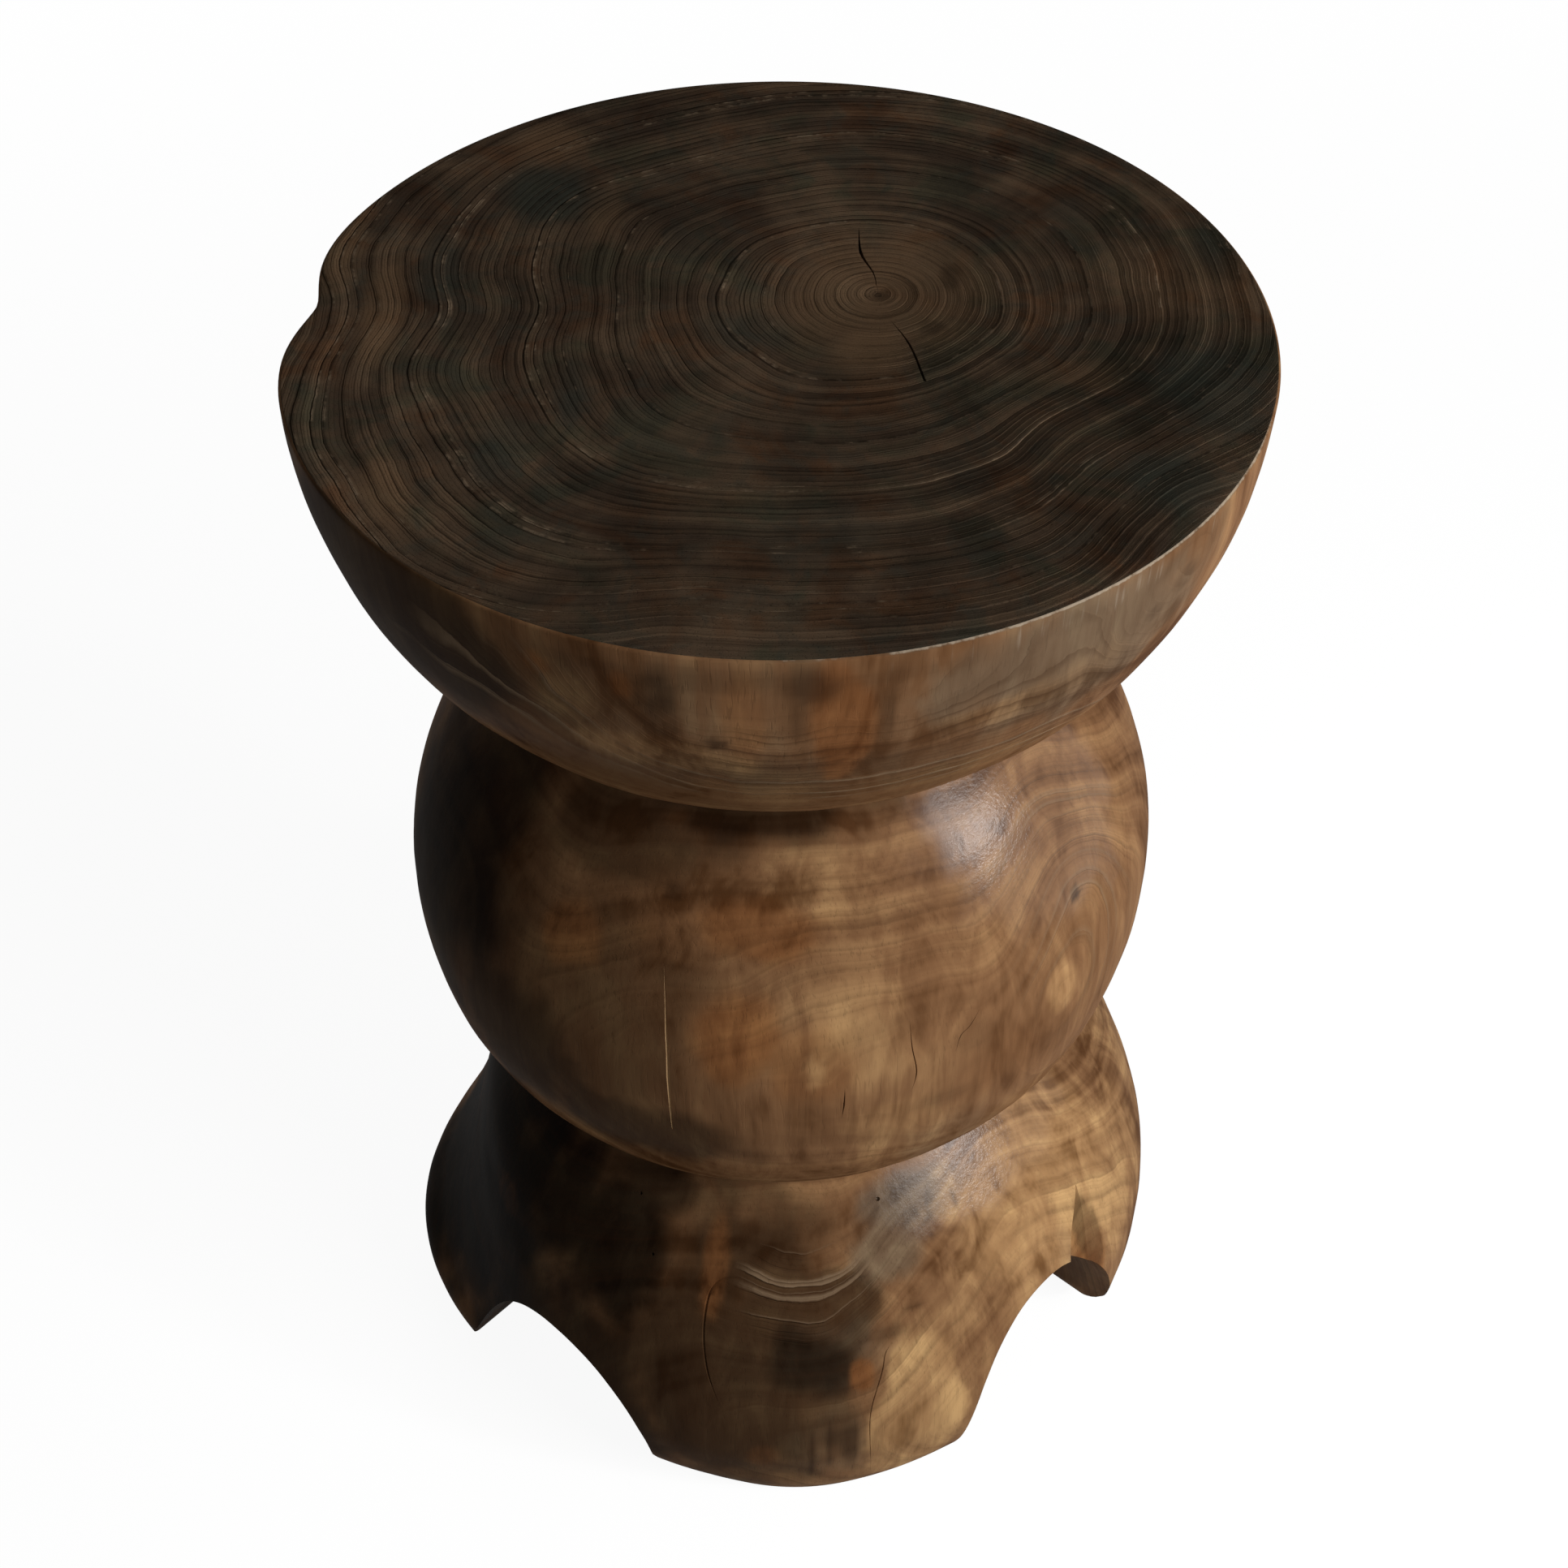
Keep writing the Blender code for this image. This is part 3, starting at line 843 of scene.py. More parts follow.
@dataclass(frozen=True)
class WormHole:
    """A small round hole bored into a side."""

    degrees: float
    share: float
    radius: float
    depth: float
    cover: float = 0.0008
    sides: int = 16
    step: float = 0.002
    profile: tuple[tuple[float, float], ...] = ((1.0, 0.0), (0.75, 0.7), (0.35, 1.0))

    def build(self, form: BlockForm) -> Piece:
        """Return the hole as a closed cutter.

        Args:
            form: The block, whose skin the hole opens.
        """
        azimuth, height = np.array(math.radians(self.degrees)), np.array(self.share * form.height)
        above, below = (form.outer_radius(height + step, azimuth) for step in (self.step, -self.step))
        rise = (above - below) / (2.0 * self.step)
        away = Vector((math.sin(azimuth), -math.cos(azimuth), 0.0))
        out = (away - Vector((0.0, 0.0, float(rise)))).normalized()
        mouth = away * float(form.outer_radius(height, azimuth)) + Vector((0.0, 0.0, float(height)))
        side = out.cross(Vector((0.0, 0.0, 1.0))).normalized()
        up = side.cross(out)
        levels = [(self.radius, self.cover)]
        levels += [(share * self.radius, -down * self.depth) for share, down in self.profile]
        turns = np.linspace(0.0, 2.0 * math.pi, self.sides, endpoint=False)
        rows = [[mouth + out * level + side * radius * math.cos(t) + up * radius * math.sin(t) for t in turns]
                for radius, level in levels]
        return wrapped_grid(f"cut_hole_{self.degrees:.0f}", np.array(rows))


@dataclass(frozen=True)
class GlideSeat:
    """The counterbore and nail hole under one foot."""

    degrees: float
    radius: float = 0.0113
    recess: float = 0.0053
    hole_radius: float = 0.0015
    hole_top: float = 0.0215
    circle: float = 0.1010
    below: float = 0.0020
    sides: int = 48

    def build(self) -> Piece:
        """Return the seat as a closed cutter."""
        outline = [(self.radius, -self.below), (self.radius, self.recess), (self.hole_radius, self.recess),
                   (self.hole_radius, self.hole_top)]
        turn = np.linspace(0.0, 2.0 * math.pi, self.sides, endpoint=False)
        azimuth = math.radians(self.degrees)
        middle = np.array([math.sin(azimuth), -math.cos(azimuth)]) * self.circle
        round_it = np.column_stack([np.cos(turn), np.sin(turn)])
        rows = [np.column_stack([middle + r * round_it, np.full_like(turn, z)]) for r, z in outline]
        return wrapped_grid(f"cut_glide_{self.degrees:.0f}", np.array(rows))


# ---------------------------------------------------------------- the wood's figure


@dataclass(frozen=True)
class Flute:
    """A place where the log's rings swell out or fold in, seen in plan."""

    degrees: float
    spread: float
    amount: float
    start: float
    full: float
    fading: float = 0.90
    faded: float = 1.00


@dataclass(frozen=True)
class Knot:
    """A spot in the log where the rings bend round into loops."""

    degrees: float
    height: float
    depth: float
    reach: float
    lift: float


@dataclass
class LogFigure:
    """The log's growth rings as one distance, in metres, at every point in the wood."""

    unit: float = 0.450
    pith_top: tuple[float, float] = (0.0109, 0.0351)
    pith_floor: tuple[float, float] = (0.0040, 0.0120)
    plan_turn: float = 42.0
    edge_loss: float = 0.75
    knot_circle: float = 0.134
    least: float = 0.0010
    drifts: tuple[Row, ...] = ((0.0030, 0.060, 0.8, 11.0), (0.0009, 0.022, 1.0, 5.0))
    flutes: tuple[Flute, ...] = (
        Flute(200.0, 75.0, 0.34, 0.02, 0.12),
        Flute(90.0, 60.0, 0.10, 0.05, 0.20),
        Flute(184.0, 9.0, -0.10, 0.14, 0.27),
        Flute(307.0, 20.0, -0.11, 0.08, 0.20, 0.24, 0.40),
        Flute(292.0, 7.0, 0.025, 0.12, 0.20, 0.24, 0.36),
        Flute(152.0, 12.0, 0.07, 0.12, 0.22, 0.24, 0.36),
        Flute(226.0, 18.0, 0.10, 0.08, 0.24),
        Flute(14.0, 30.0, 0.03, 0.05, 0.20),
    )
    knots: tuple[Knot, ...] = (
        Knot(86, 0.253, 0.006, 0.024, 0.005), Knot(96, 0.282, 0.004, 0.02, 0.007),
        Knot(112, 0.262, 0.01, 0.032, 0.007), Knot(-23, 0.257, 0.012, 0.034, 0.008),
        Knot(-8, 0.248, 0.008, 0.024, -0.005), Knot(33, 0.288, 0.004, 0.022, -0.004),
        Knot(30, 0.44, 0, 0.022, 0.005), Knot(36, 0.414, 0.006, 0.014, -0.003),
        Knot(95, 0.437, -0.01, 0.016, 0.004), Knot(47, 0.106, 0.014, 0.036, -0.013),
        Knot(80, 0.14, 0.01, 0.024, 0.006), Knot(200, 0.24, 0.008, 0.036, 0.008),
        Knot(260, 0.12, 0, 0.03, 0.009), Knot(170, 0.1, 0, 0.03, -0.007),
    )

    def distance(self, points: Array) -> Array:
        """Return the ring distance at each point, in metres.

        Args:
            points: Rows of xyz.
        """
        share = np.clip(points[:, 2] / self.unit, 0.0, 1.0)[:, None]
        pith = np.array(self.pith_floor) * (1.0 - share) + np.array(self.pith_top) * share
        flat = points[:, :2] - pith
        turn = math.radians(-self.plan_turn)
        u = flat[:, 0] * math.cos(turn) - flat[:, 1] * math.sin(turn)
        v = flat[:, 0] * math.sin(turn) + flat[:, 1] * math.cos(turn)
        radius = np.hypot(u, v)
        angle = np.degrees(np.arctan2(v, u))
        shape = np.ones_like(radius)
        for flute in self.flutes:
            away = (angle - flute.degrees + 180.0) % 360.0 - 180.0
            grow = soft_step(flute.start, flute.full, radius / self.unit)
            grow = grow * (1.0 - self.edge_loss * soft_step(flute.fading, flute.faded, radius / self.unit))
            shape += flute.amount * np.exp(-(away / flute.spread) ** 2) * grow
        ring = radius / shape
        for knot in self.knots:
            azimuth = math.radians(knot.degrees)
            depth = self.knot_circle - knot.depth
            spot = np.array([math.sin(azimuth) * depth, -math.cos(azimuth) * depth, knot.height])
            ring += knot.lift * np.exp(-((points - spot) ** 2).sum(1) / knot.reach ** 2)
        return np.maximum(ring + swells(points, self.drifts), self.least)


class Patch(NamedTuple):
    """A soft-edged patch of one tint: its middle, half sizes and strength.

    On the sides the first place and half size are an azimuth and an angle in degrees, and the second
    ones are shares of the height. On the seat they are shares of the height in plan, right and back.
    """

    first: float
    second: float
    half_first: float
    half_second: float
    strength: float
    edge: float = 0.45
    lean: float = 42.0


# Rows for Patch, on the sides.
SIDE_PATCHES: dict[Tint, tuple[Row, ...]] = {
    # Smoky grey-brown wood; the row at azimuth 68, 0.312 of the height, just under the ball, also stands for
    # a painted grey sheen there.
    Tint.SMOKE: (
        (40, 0.93, 34, 0.08, 0.4), (76, 0.95, 22, 0.06, 0.8), (78, 0.9995, 36, 0.0014, 0.7),
        (66, 0.95, 9, 0.02, 0.6), (69, 0.431, 10, 0.05, 0.45), (68, 0.312, 12, 0.018, 0.9),
        (60, 0.285, 7, 0.024, 0.75), (49, 0.11, 7, 0.065, 0.4), (50, 0.215, 9, 0.04, 0.6),
        (91.8, 0.205, 2, 0.036, 0.7, 0.3), (200, 0.3, 20, 0.04, 0.6)),
    # Darker wood, with painted shade: rows at negative azimuths deepen the shaded left side, and rows at
    # 0.705 and 0.742 of the height darken the ball just under the bowl.
    Tint.DARK: (
        (-8, 0.94, 24, 0.09, 0.8), (17, 0.95, 13, 0.06, 0.45), (29, 0.966, 3, 0.02, 0.6),
        (44, 0.893, 26, 0.02, 0.5), (40, 0.86, 40, 0.06, 0.4), (58, 0.96, 38, 0.06, 0.3),
        (93, 0.985, 7, 0.02, 0.4), (-26, 0.61, 26, 0.16, 0.95, 0.8), (-2, 0.51, 15, 0.08, 0.75),
        (12, 0.705, 18, 0.03, 0.65), (36, 0.742, 32, 0.03, 0.8), (18, 0.58, 13, 0.11, 0.5),
        (21, 0.47, 19, 0.045, 0.7), (-26, 0.2, 36, 0.18, 1), (-45, 0.1, 20, 0.12, 1),
        (1, 0.27, 9, 0.06, 0.95), (16, 0.318, 13, 0.02, 0.85), (33, 0.18, 20, 0.17, 0.75),
        (37, 0.285, 14, 0.04, 0.72), (46, 0.312, 8, 0.018, 0.6, 0.8), (12, 0.265, 13, 0.075, 0.95),
        (10, 0.11, 17, 0.13, 0.85), (47, 0.256, 12, 0.03, 0.7, 0.25), (45, 0.205, 10.5, 0.048, 0.92, 0.6),
        (36, 0.205, 5.5, 0.05, 0.8), (37, 0.11, 5, 0.05, 0.65), (50, 0.15, 4, 0.03, 0.6, 0.7),
        (216, 0.64, 20, 0.03, 0.45), (250, 0.2, 18, 0.1, 0.5), (196, 0.87, 24, 0.04, 0.45)),
    # Orange-brown wood; the rows at azimuths 90.6 and 97.2, by the cleft above the right arch, are painted
    # shade on it.
    Tint.FLAME: (
        (16, 0.97, 2, 0.013, 0.7), (25.6, 0.969, 1.7, 0.015, 0.8), (38.4, 0.95, 2.9, 0.05, 0.55),
        (48.6, 0.945, 3.9, 0.06, 0.85, 0.3), (7.6, 0.636, 5.4, 0.026, 0.8), (39.4, 0.669, 12, 0.022, 0.8),
        (35.3, 0.59, 6.5, 0.042, 0.9), (46, 0.565, 7, 0.04, 0.6), (24, 0.665, 9, 0.03, 0.45, 0.8),
        (78, 0.52, 10, 0.04, 0.4, 0.8), (30.6, 0.276, 2.6, 0.038, 0.7, 0.6), (-16, 0.222, 6, 0.02, 0.4),
        (54.1, 0.192, 2.4, 0.02, 0.9, 0.3), (67, 0.136, 1.8, 0.018, 0.75), (39.1, 0.094, 2.6, 0.022, 0.5),
        (90.6, 0.279, 1.4, 0.012, 0.6), (97.2, 0.19, 3.2, 0.05, 0.85, 0.25), (232, 0.93, 9, 0.05, 0.7),
        (172, 0.92, 6, 0.05, 0.6)),
    # Golden wood; the small row at azimuth 94.6, above the cleft, is a painted highlight on a pale grain
    # spindle.
    Tint.GOLD: (
        (27, 0.905, 12, 0.022, 0.55), (67, 0.925, 9, 0.016, 0.5), (19.4, 0.944, 5, 0.026, 0.4),
        (74, 0.925, 9, 0.026, 0.4, 0.8), (54, 0.585, 9, 0.046, 0.45, 0.8), (58, 0.495, 7, 0.026, 0.5),
        (47, 0.694, 9, 0.022, 0.55, 0.8), (62, 0.465, 11, 0.03, 0.4), (50.3, 0.602, 1.7, 0.02, 0.5),
        (59.4, 0.614, 1.6, 0.021, 0.5), (46.4, 0.562, 1.7, 0.024, 0.6), (87.4, 0.553, 3.8, 0.028, 0.8),
        (62.2, 0.12, 7.4, 0.11, 0.9, 0.16), (101, 0.312, 12, 0.026, 0.8), (68, 0.215, 8, 0.028, 0.45),
        (92, 0.27, 22, 0.08, 0.85), (94.6, 0.27, 1.3, 0.013, 1, 0.25), (113, 0.2, 14, 0.08, 0.6),
        (138, 0.25, 20, 0.15, 0.45), (190, 0.56, 26, 0.06, 0.5)),
    # Dark streaks and lines in the wood; the rows at 0.716 and 0.722 of the height are a painted shadow line
    # on the ball under the bowl, and the row at azimuth 97.8 is painted shade in the cleft above the right
    # arch.
    Tint.INK_AND_SHADE: (
        (45, 0.978, 4, 0.018, 0.7, 0.7), (43.8, 0.96, 1.6, 0.046, 0.6, 0.7), (53.2, 0.95, 0.8, 0.048, 0.65),
        (30, 0.945, 2.6, 0.022, 0.55), (35.2, 0.924, 1.5, 0.008, 0.7), (91.5, 0.965, 3.4, 0.012, 0.5),
        (86.5, 0.95, 1.8, 0.01, 0.45), (38, 0.982, 30, 0.012, 0.45), (68, 0.985, 12, 0.01, 0.3),
        (23.9, 0.683, 2.2, 0.007, 0.6), (27, 0.633, 4.2, 0.013, 0.5), (36, 0.722, 19, 0.007, 0.4),
        (31, 0.716, 9, 0.016, 0.6), (71, 0.561, 5.4, 0.018, 0.4), (30, 0.63, 5, 0.022, 0.45, 0.8),
        (66, 0.505, 6, 0.012, 0.45, 0.7), (93.4, 0.622, 1.5, 0.006, 0.85),
        (97.8, 0.198, 2.8, 0.044, 0.6, 0.25), (57, 0.227, 5, 0.011, 0.55), (63.1, 0.243, 2.2, 0.006, 0.6),
        (75.1, 0.302, 1.1, 0.008, 0.6), (69.2, 0.287, 1, 0.007, 0.6), (46.4, 0.1, 0.9, 0.045, 0.65),
        (49.2, 0.105, 0.8, 0.05, 0.6), (51.9, 0.1, 0.8, 0.055, 0.65), (238, 0.955, 1.4, 0.04, 0.6),
        (178, 0.585, 2.6, 0.01, 0.7)),
    # A painted highlight line along the front of the rim's edge, with pale scuffs just under it.
    Tint.RIM_GLINT_AND_SCUFF: (
        (82, 0.9996, 36, 0.0007, 0.95, 0.6), (78, 0.99, 28, 0.012, 0.4, 0.9)),
    Tint.RIBBED: (
        (63, 0.9, 36, 0.048, 1), (74, 0.945, 18, 0.04, 0.8), (12, 0.935, 13, 0.045, 0.7),
        (104, 0.87, 16, 0.05, 0.8), (95, 0.64, 14, 0.1, 0.35, 0.7), (47, 0.262, 12.5, 0.036, 0.7, 0.25),
        (210, 0.895, 40, 0.03, 0.8)),
    Tint.POLISH: (
        (92, 0.698, 20, 0.084, 1, 0.3), (84, 0.312, 24, 0.028, 1), (200, 0.7, 24, 0.07, 0.8),
        (210, 0.31, 24, 0.026, 0.8)),
}

# Rows for Patch, on the seat.
SEAT_PATCHES: dict[Tint, tuple[Row, ...]] = {
    Tint.SMOKE: (
        (-0.237, 0.021, 0.034, 0.038, 1), (-0.228, -0.101, 0.015, 0.042, 0.6),
        (-0.014, -0.021, 0.03, 0.024, 0.6), (-0.041, -0.223, 0.018, 0.036, 0.6),
        (-0.052, -0.144, 0.009, 0.036, 0.5), (0.163, 0.276, 0.011, 0.03, 0.7),
        (0.262, 0.144, 0.034, 0.05, 0.9), (0.06, 0.248, 0.018, 0.024, 0.4), (0.295, 0.04, 0.03, 0.03, 0.9),
        (0.162, -0.144, 0.046, 0.026, 0.45)),
    Tint.DARK: (
        (-0.21, 0.06, 0.14, 0.27, 0.5, 0.8), (-0.215, 0.202, 0.072, 0.03, 0.5),
        (0.049, 0.125, 0.007, 0.018, 0.6), (0.077, 0.071, 0.008, 0.008, 0.6),
        (0.024, 0.078, 0.0045, 0.0045, 1, 0.2)),
    Tint.GOLD: (
        (0.024, 0.078, 0.072, 0.072, 0.8), (-0.194, 0.027, 0.013, 0.036, 0.6),
        (-0.289, 0.07, 0.028, 0.028, 0.8), (-0.217, -0.163, 0.014, 0.06, 0.8),
        (-0.062, -0.298, 0.013, 0.046, 0.8, 0.45, 57), (-0.298, -0.131, 0.014, 0.052, 0.7),
        (0.087, -0.168, 0.036, 0.011, 0.4), (0.183, 0.092, 0.03, 0.018, 0.4),
        (-0.203, 0.261, 0.072, 0.01, 0.4), (0.062, 0.026, 0.03, 0.034, 1, 0.7),
        (0.171, 0.223, 0.06, 0.04, 0.55, 0.8)),
    Tint.RIBBED: (
        (0.195, -0.03, 0.095, 0.035, 1, 0.8, 80), (0.147, -0.19, 0.03, 0.09, 0.5, 0.8),
        (-0.19, -0.1, 0.04, 0.11, 0.55, 0.8)),
}


# ---------------------------------------------------------------- finishes


def new_finish(name: str) -> tuple[Finish, Sheet, bpy.types.Node]:
    """Return an empty material, its node sheet and its shader."""
    material = bpy.data.materials.new(name)
    material.use_nodes = True
    return material, Sheet(material.node_tree), material.node_tree.nodes["Principled BSDF"]


@dataclass(frozen=True)
class BurntTeak:
    """The seat: end grain, burnt dark and brushed so that the rings stand up."""

    dark: str = "40342a"
    mid: str = "64513f"
    heart: str = "745a42"
    warm: str = "ffe9dc"
    cool: str = "dcf3f4"
    teal: str = "383c35"
    deep: str = "1e1813"
    line: str = "120d09"
    # colour of the pale ridges: painted highlights on the raised rings, partly rubbed wood
    ridge: str = "958069"
    tint_share: float = 0.75
    line_shares: tuple[tuple[str, float], ...] = (("Wide", 0.34), ("Middle", 0.62), ("Fine", 0.40))
    ring_relief: float = 0.00050
    pore_depth: float = 0.00008

    def build(self, figure: Tree, fibres: Tree) -> Finish:
        """Make the seat's wood.

        Args:
            figure: The growth-ring figure.
            fibres: The fibre group.

        Returns:
            The material.
        """
        material, sheet, shader = new_finish("burnt_teak")
        where = sheet.position()
        rings = sheet.group(figure, Ring=sheet.mask("ring"), Position=where)
        grain = sheet.group(fibres, Position=where)
        # the ground, with warm and cool areas
        tone = sheet.blend_in(rings["Shade"], 0.14, sheet.times(grain["Cloud"], 0.80))
        tone = sheet.blend_in(rings["Flow"], 0.18, tone)
        top = sheet.mix(sheet.ramp(tone, 0.36, 0.74), rgb(self.dark), rgb(self.mid))
        hue = sheet.noise(where, 36.0, 3.0, 0.6, 0.6)
        for share, code in ((sheet.ramp(hue, 0.34, 0.52, 1.0, 0.0), self.cool),
                            (sheet.ramp(hue, 0.52, 0.68), self.warm)):
            top = sheet.mix(share, top, sheet.mix(1.0, top, rgb(code), "MULTIPLY"))
        top = sheet.mix(sheet.ramp(grain["Tongue"], 0.05, 0.45, 0.30, 0.0), top, rgb(self.teal))
        for tint, code in ((Tint.GOLD, self.heart), (Tint.SMOKE, self.teal), (Tint.DARK, self.deep)):
            top = sheet.mix(sheet.times(sheet.mask(tint), self.tint_share), top, rgb(code))
        # the dark ring lines, the pale ridges between them (painted highlights on the raised rings, partly
        # rubbed wood) and the pores
        drift = sheet.ramp(sheet.noise(where, 42.0, 3.0, 0.6), 0.36, 0.62, 0.22, 1.0)
        for name, share in self.line_shares:
            top = sheet.mix(sheet.times(rings[name], sheet.times(drift, share)), top, rgb(self.line))
        strokes = sheet.ramp(sheet.noise(where, 110.0, 3.0, 0.7), 0.48, 0.68, 0.0, 0.50)
        strokes = sheet.blend_in(sheet.mask(Tint.RIBBED), 0.30, strokes)
        # painted highlight on the raised ring ridges, partly rubbed wood
        top = sheet.mix(sheet.times(sheet.ramp(rings["Relief"], 0.85, 1.45), strokes), top, rgb(self.ridge))
        pores = sheet.ramp(sheet.noise(where, 1900.0, 1.0), 0.60, 0.70)
        top = sheet.mix(sheet.times(pores, 0.30), top, rgb(self.line))
        sheet.feed(shader, {
            "Base Color": top, "Roughness": sheet.ramp(grain["Cloud"], 0.3, 0.7, 0.44, 0.56),
            "Specular IOR Level": 0.0,
            "Normal": sheet.bump(pores, -self.pore_depth, sheet.bump(rings["Relief"], self.ring_relief))})
        return material


@dataclass(frozen=True)
class WaxedTeak:
    """The sides: long grain, sanded smooth, oiled and waxed, with smoky streaks."""

    dark: str = "553720"
    mid: str = "7e5b3e"
    light: str = "997450"
    line: str = "3a2415"
    gold: str = "a98259"
    flame: str = "805331"
    smoke: str = "6a5947"
    deep: str = "1b140d"
    ink: str = "2c1c12"
    # colour of the pale ridges: painted highlights on the raised rings, partly worn wood
    ridge: str = "a98f72"
    # colour of the painted highlight line on the rim and of the scuffs under it
    scuff: str = "b5a692"
    scar: str = "c6a67c"
    line_shares: tuple[tuple[str, float], ...] = (("Wide", 0.26), ("Middle", 0.20), ("Fine", 0.10))
    ribbed_line: float = 0.42
    ring_relief: float = 0.00045
    fibre_relief: float = 0.00009
    scar_relief: float = 0.00006

    def build(self, figure: Tree, fibres: Tree) -> Finish:
        """Make the sides' wood.

        Args:
            figure: The growth-ring figure.
            fibres: The fibre group.

        Returns:
            The material.
        """
        material, sheet, shader = new_finish("waxed_teak")
        where = sheet.position()
        ribbed, polish = sheet.mask(Tint.RIBBED), sheet.mask(Tint.POLISH)
        rings = sheet.group(figure, Ring=sheet.mask("ring"), Position=where)
        grain = sheet.group(fibres, Position=where)
        streak, pore, cloud, tongue = (grain[n] for n in ("Streak", "Pore", "Cloud", "Tongue"))
        # the ground, and the tints whose edges break up along its grain; some tints also lay painted shade,
        # painted sheen and small painted highlights
        tone = sheet.blend_in(rings["Flow"], 0.38, sheet.times(cloud, 0.62))
        tone = sheet.blend_in(tongue, 0.14, tone)
        side = sheet.mix(sheet.ramp(tone, 0.38, 0.58), rgb(self.dark), rgb(self.mid))
        side = sheet.mix(sheet.ramp(tone, 0.54, 0.74), side, rgb(self.light))
        detail = sheet.mix(1.0, side, rgb(self.mid), "DIVIDE")
        broken = sheet.blend_in(tongue, 0.16, sheet.ramp(tone, 0.40, 0.72, -0.16, 0.0))
        for tint, code in ((Tint.SMOKE, self.smoke), (Tint.DARK, self.deep), (Tint.FLAME, self.flame),
                           (Tint.GOLD, self.gold), (Tint.INK_AND_SHADE, self.ink)):
            mask = sheet.mask(tint)
            amount = sheet.times(mask, sheet.ramp(sheet.math("ADD", mask, broken), 0.05, 0.75))
            side = sheet.mix(amount, side, sheet.mix(1.0, detail, rgb(code), "MULTIPLY"))
        # ring lines, stronger where the wood is combed, then pale ridges (painted highlights, partly worn
        # wood), streaks, pores, and scuffs with a painted highlight line along the rim
        drift = sheet.ramp(cloud, 0.36, 0.60, 0.25, 1.0)
        for name, share in self.line_shares:
            strength = sheet.times(drift, sheet.ramp(ribbed, 0.0, 1.0, share, share + self.ribbed_line))
            side = sheet.mix(sheet.times(rings[name], strength), side, rgb(self.line))
        # painted highlight on the raised ring ridges where the wood is combed, partly worn wood
        worn = sheet.times(ribbed, sheet.ramp(rings["Relief"], 0.85, 1.40, 0.0, 0.62))
        # painted highlight: a pale line along the rim's edge, with fine scuffs under it
        scuff = sheet.blend_in(streak, 1.5, sheet.mask(Tint.RIM_GLINT_AND_SCUFF))
        for share, code in ((worn, self.ridge),
                            (sheet.ramp(streak, 0.45, 0.75, 0.0, 0.16), self.line),
                            (sheet.times(pore, sheet.ramp(cloud, 0.40, 0.60, 0.02, 0.16)), self.deep),
                            (sheet.ramp(scuff, 1.15, 1.75, 0.0, 0.60), self.scuff)):
            side = sheet.mix(share, side, rgb(code))
        # relief of the rings and the fibre; the wax coat follows only its own brushing
        rise = sheet.blend_in(ribbed, 1.3, sheet.ramp(polish, 0.0, 1.0, 0.06, 0.20))
        rub = sheet.times(sheet.noise(where, 700.0, 3.0, 0.7), polish)
        fibre = sheet.blend_in(rub, 1.4, sheet.math("SUBTRACT", streak, sheet.times(pore, 0.3)))
        brushed = sheet.blend_in(rub, 1.4, sheet.noise(sheet.stretched(where, 0.035), 420.0, 3.0, 0.6))
        ribs = sheet.bump(sheet.times(rings["Relief"], rise), self.ring_relief)
        sheet.feed(shader, {
            "Base Color": side, "Roughness": sheet.ramp(streak, 0.3, 0.7, 0.50, 0.60),
            "Specular IOR Level": 0.0, "Coat Roughness": 0.25, "Coat IOR": 1.30,
            "Normal": sheet.bump(fibre, self.fibre_relief, ribs),
            "Coat Weight": sheet.ramp(polish, 0.0, 1.0, 0.05, 1.0),
            "Coat Normal": sheet.bump(brushed, self.fibre_relief)})
        return material

    def build_scar(self, fibres: Tree) -> Finish:
        """Make the pale wood in the shallow scars.

        Args:
            fibres: The fibre group.

        Returns:
            The material.
        """
        material, sheet, shader = new_finish("scarred_teak")
        streak = sheet.group(fibres, Position=sheet.position())["Streak"]
        sheet.feed(shader, {
            "Base Color": sheet.mix(streak, rgb(self.scar), rgb(self.light)),
            "Roughness": sheet.ramp(streak, 0.3, 0.7, 0.40, 0.55), "Specular IOR Level": 0.0,
            "Normal": sheet.bump(streak, self.scar_relief)})
        return material


@dataclass(frozen=True)
class NylonFinish:
    """Black moulded nylon with a fine matt grain."""

    colour: str = "2a2826"
    worn: str = "45423e"

    def build(self) -> Finish:
        """Make the nylon."""
        material, sheet, shader = new_finish("moulded_nylon")
        where = sheet.position()
        scuff = sheet.ramp(sheet.noise(where, 700.0, 4.0, 0.7), 0.50, 0.72)
        sheet.feed(shader, {
            "Base Color": sheet.mix(scuff, rgb(self.colour), rgb(self.worn)),
            "Roughness": sheet.ramp(scuff, 0.0, 1.0, 0.45, 0.65),
            "Normal": sheet.bump(sheet.noise(where, 3500.0), 0.00003)})
        return material


@dataclass(frozen=True)
class SteelFinish:
    """Bright drawn steel with fine scratches and dull spots."""

    colour: str = "b9b9ba"
    dull: str = "8c8a87"

    def build(self) -> Finish:
        """Make the steel."""
        material, sheet, shader = new_finish("drawn_steel")
        where = sheet.position()
        spot = sheet.ramp(sheet.noise(where, 900.0, 3.0), 0.45, 0.70)
        scratch = sheet.noise(sheet.stretched(where, 0.06), 6000.0, 1.0)
        sheet.feed(shader, {
            "Base Color": sheet.mix(spot, rgb(self.colour), rgb(self.dull)), "Metallic": 1.0,
            "Roughness": sheet.ramp(spot, 0.0, 1.0, 0.28, 0.5), "Normal": sheet.bump(scratch, 0.00001)})
        return material


# ---------------------------------------------------------------- sub-assemblies


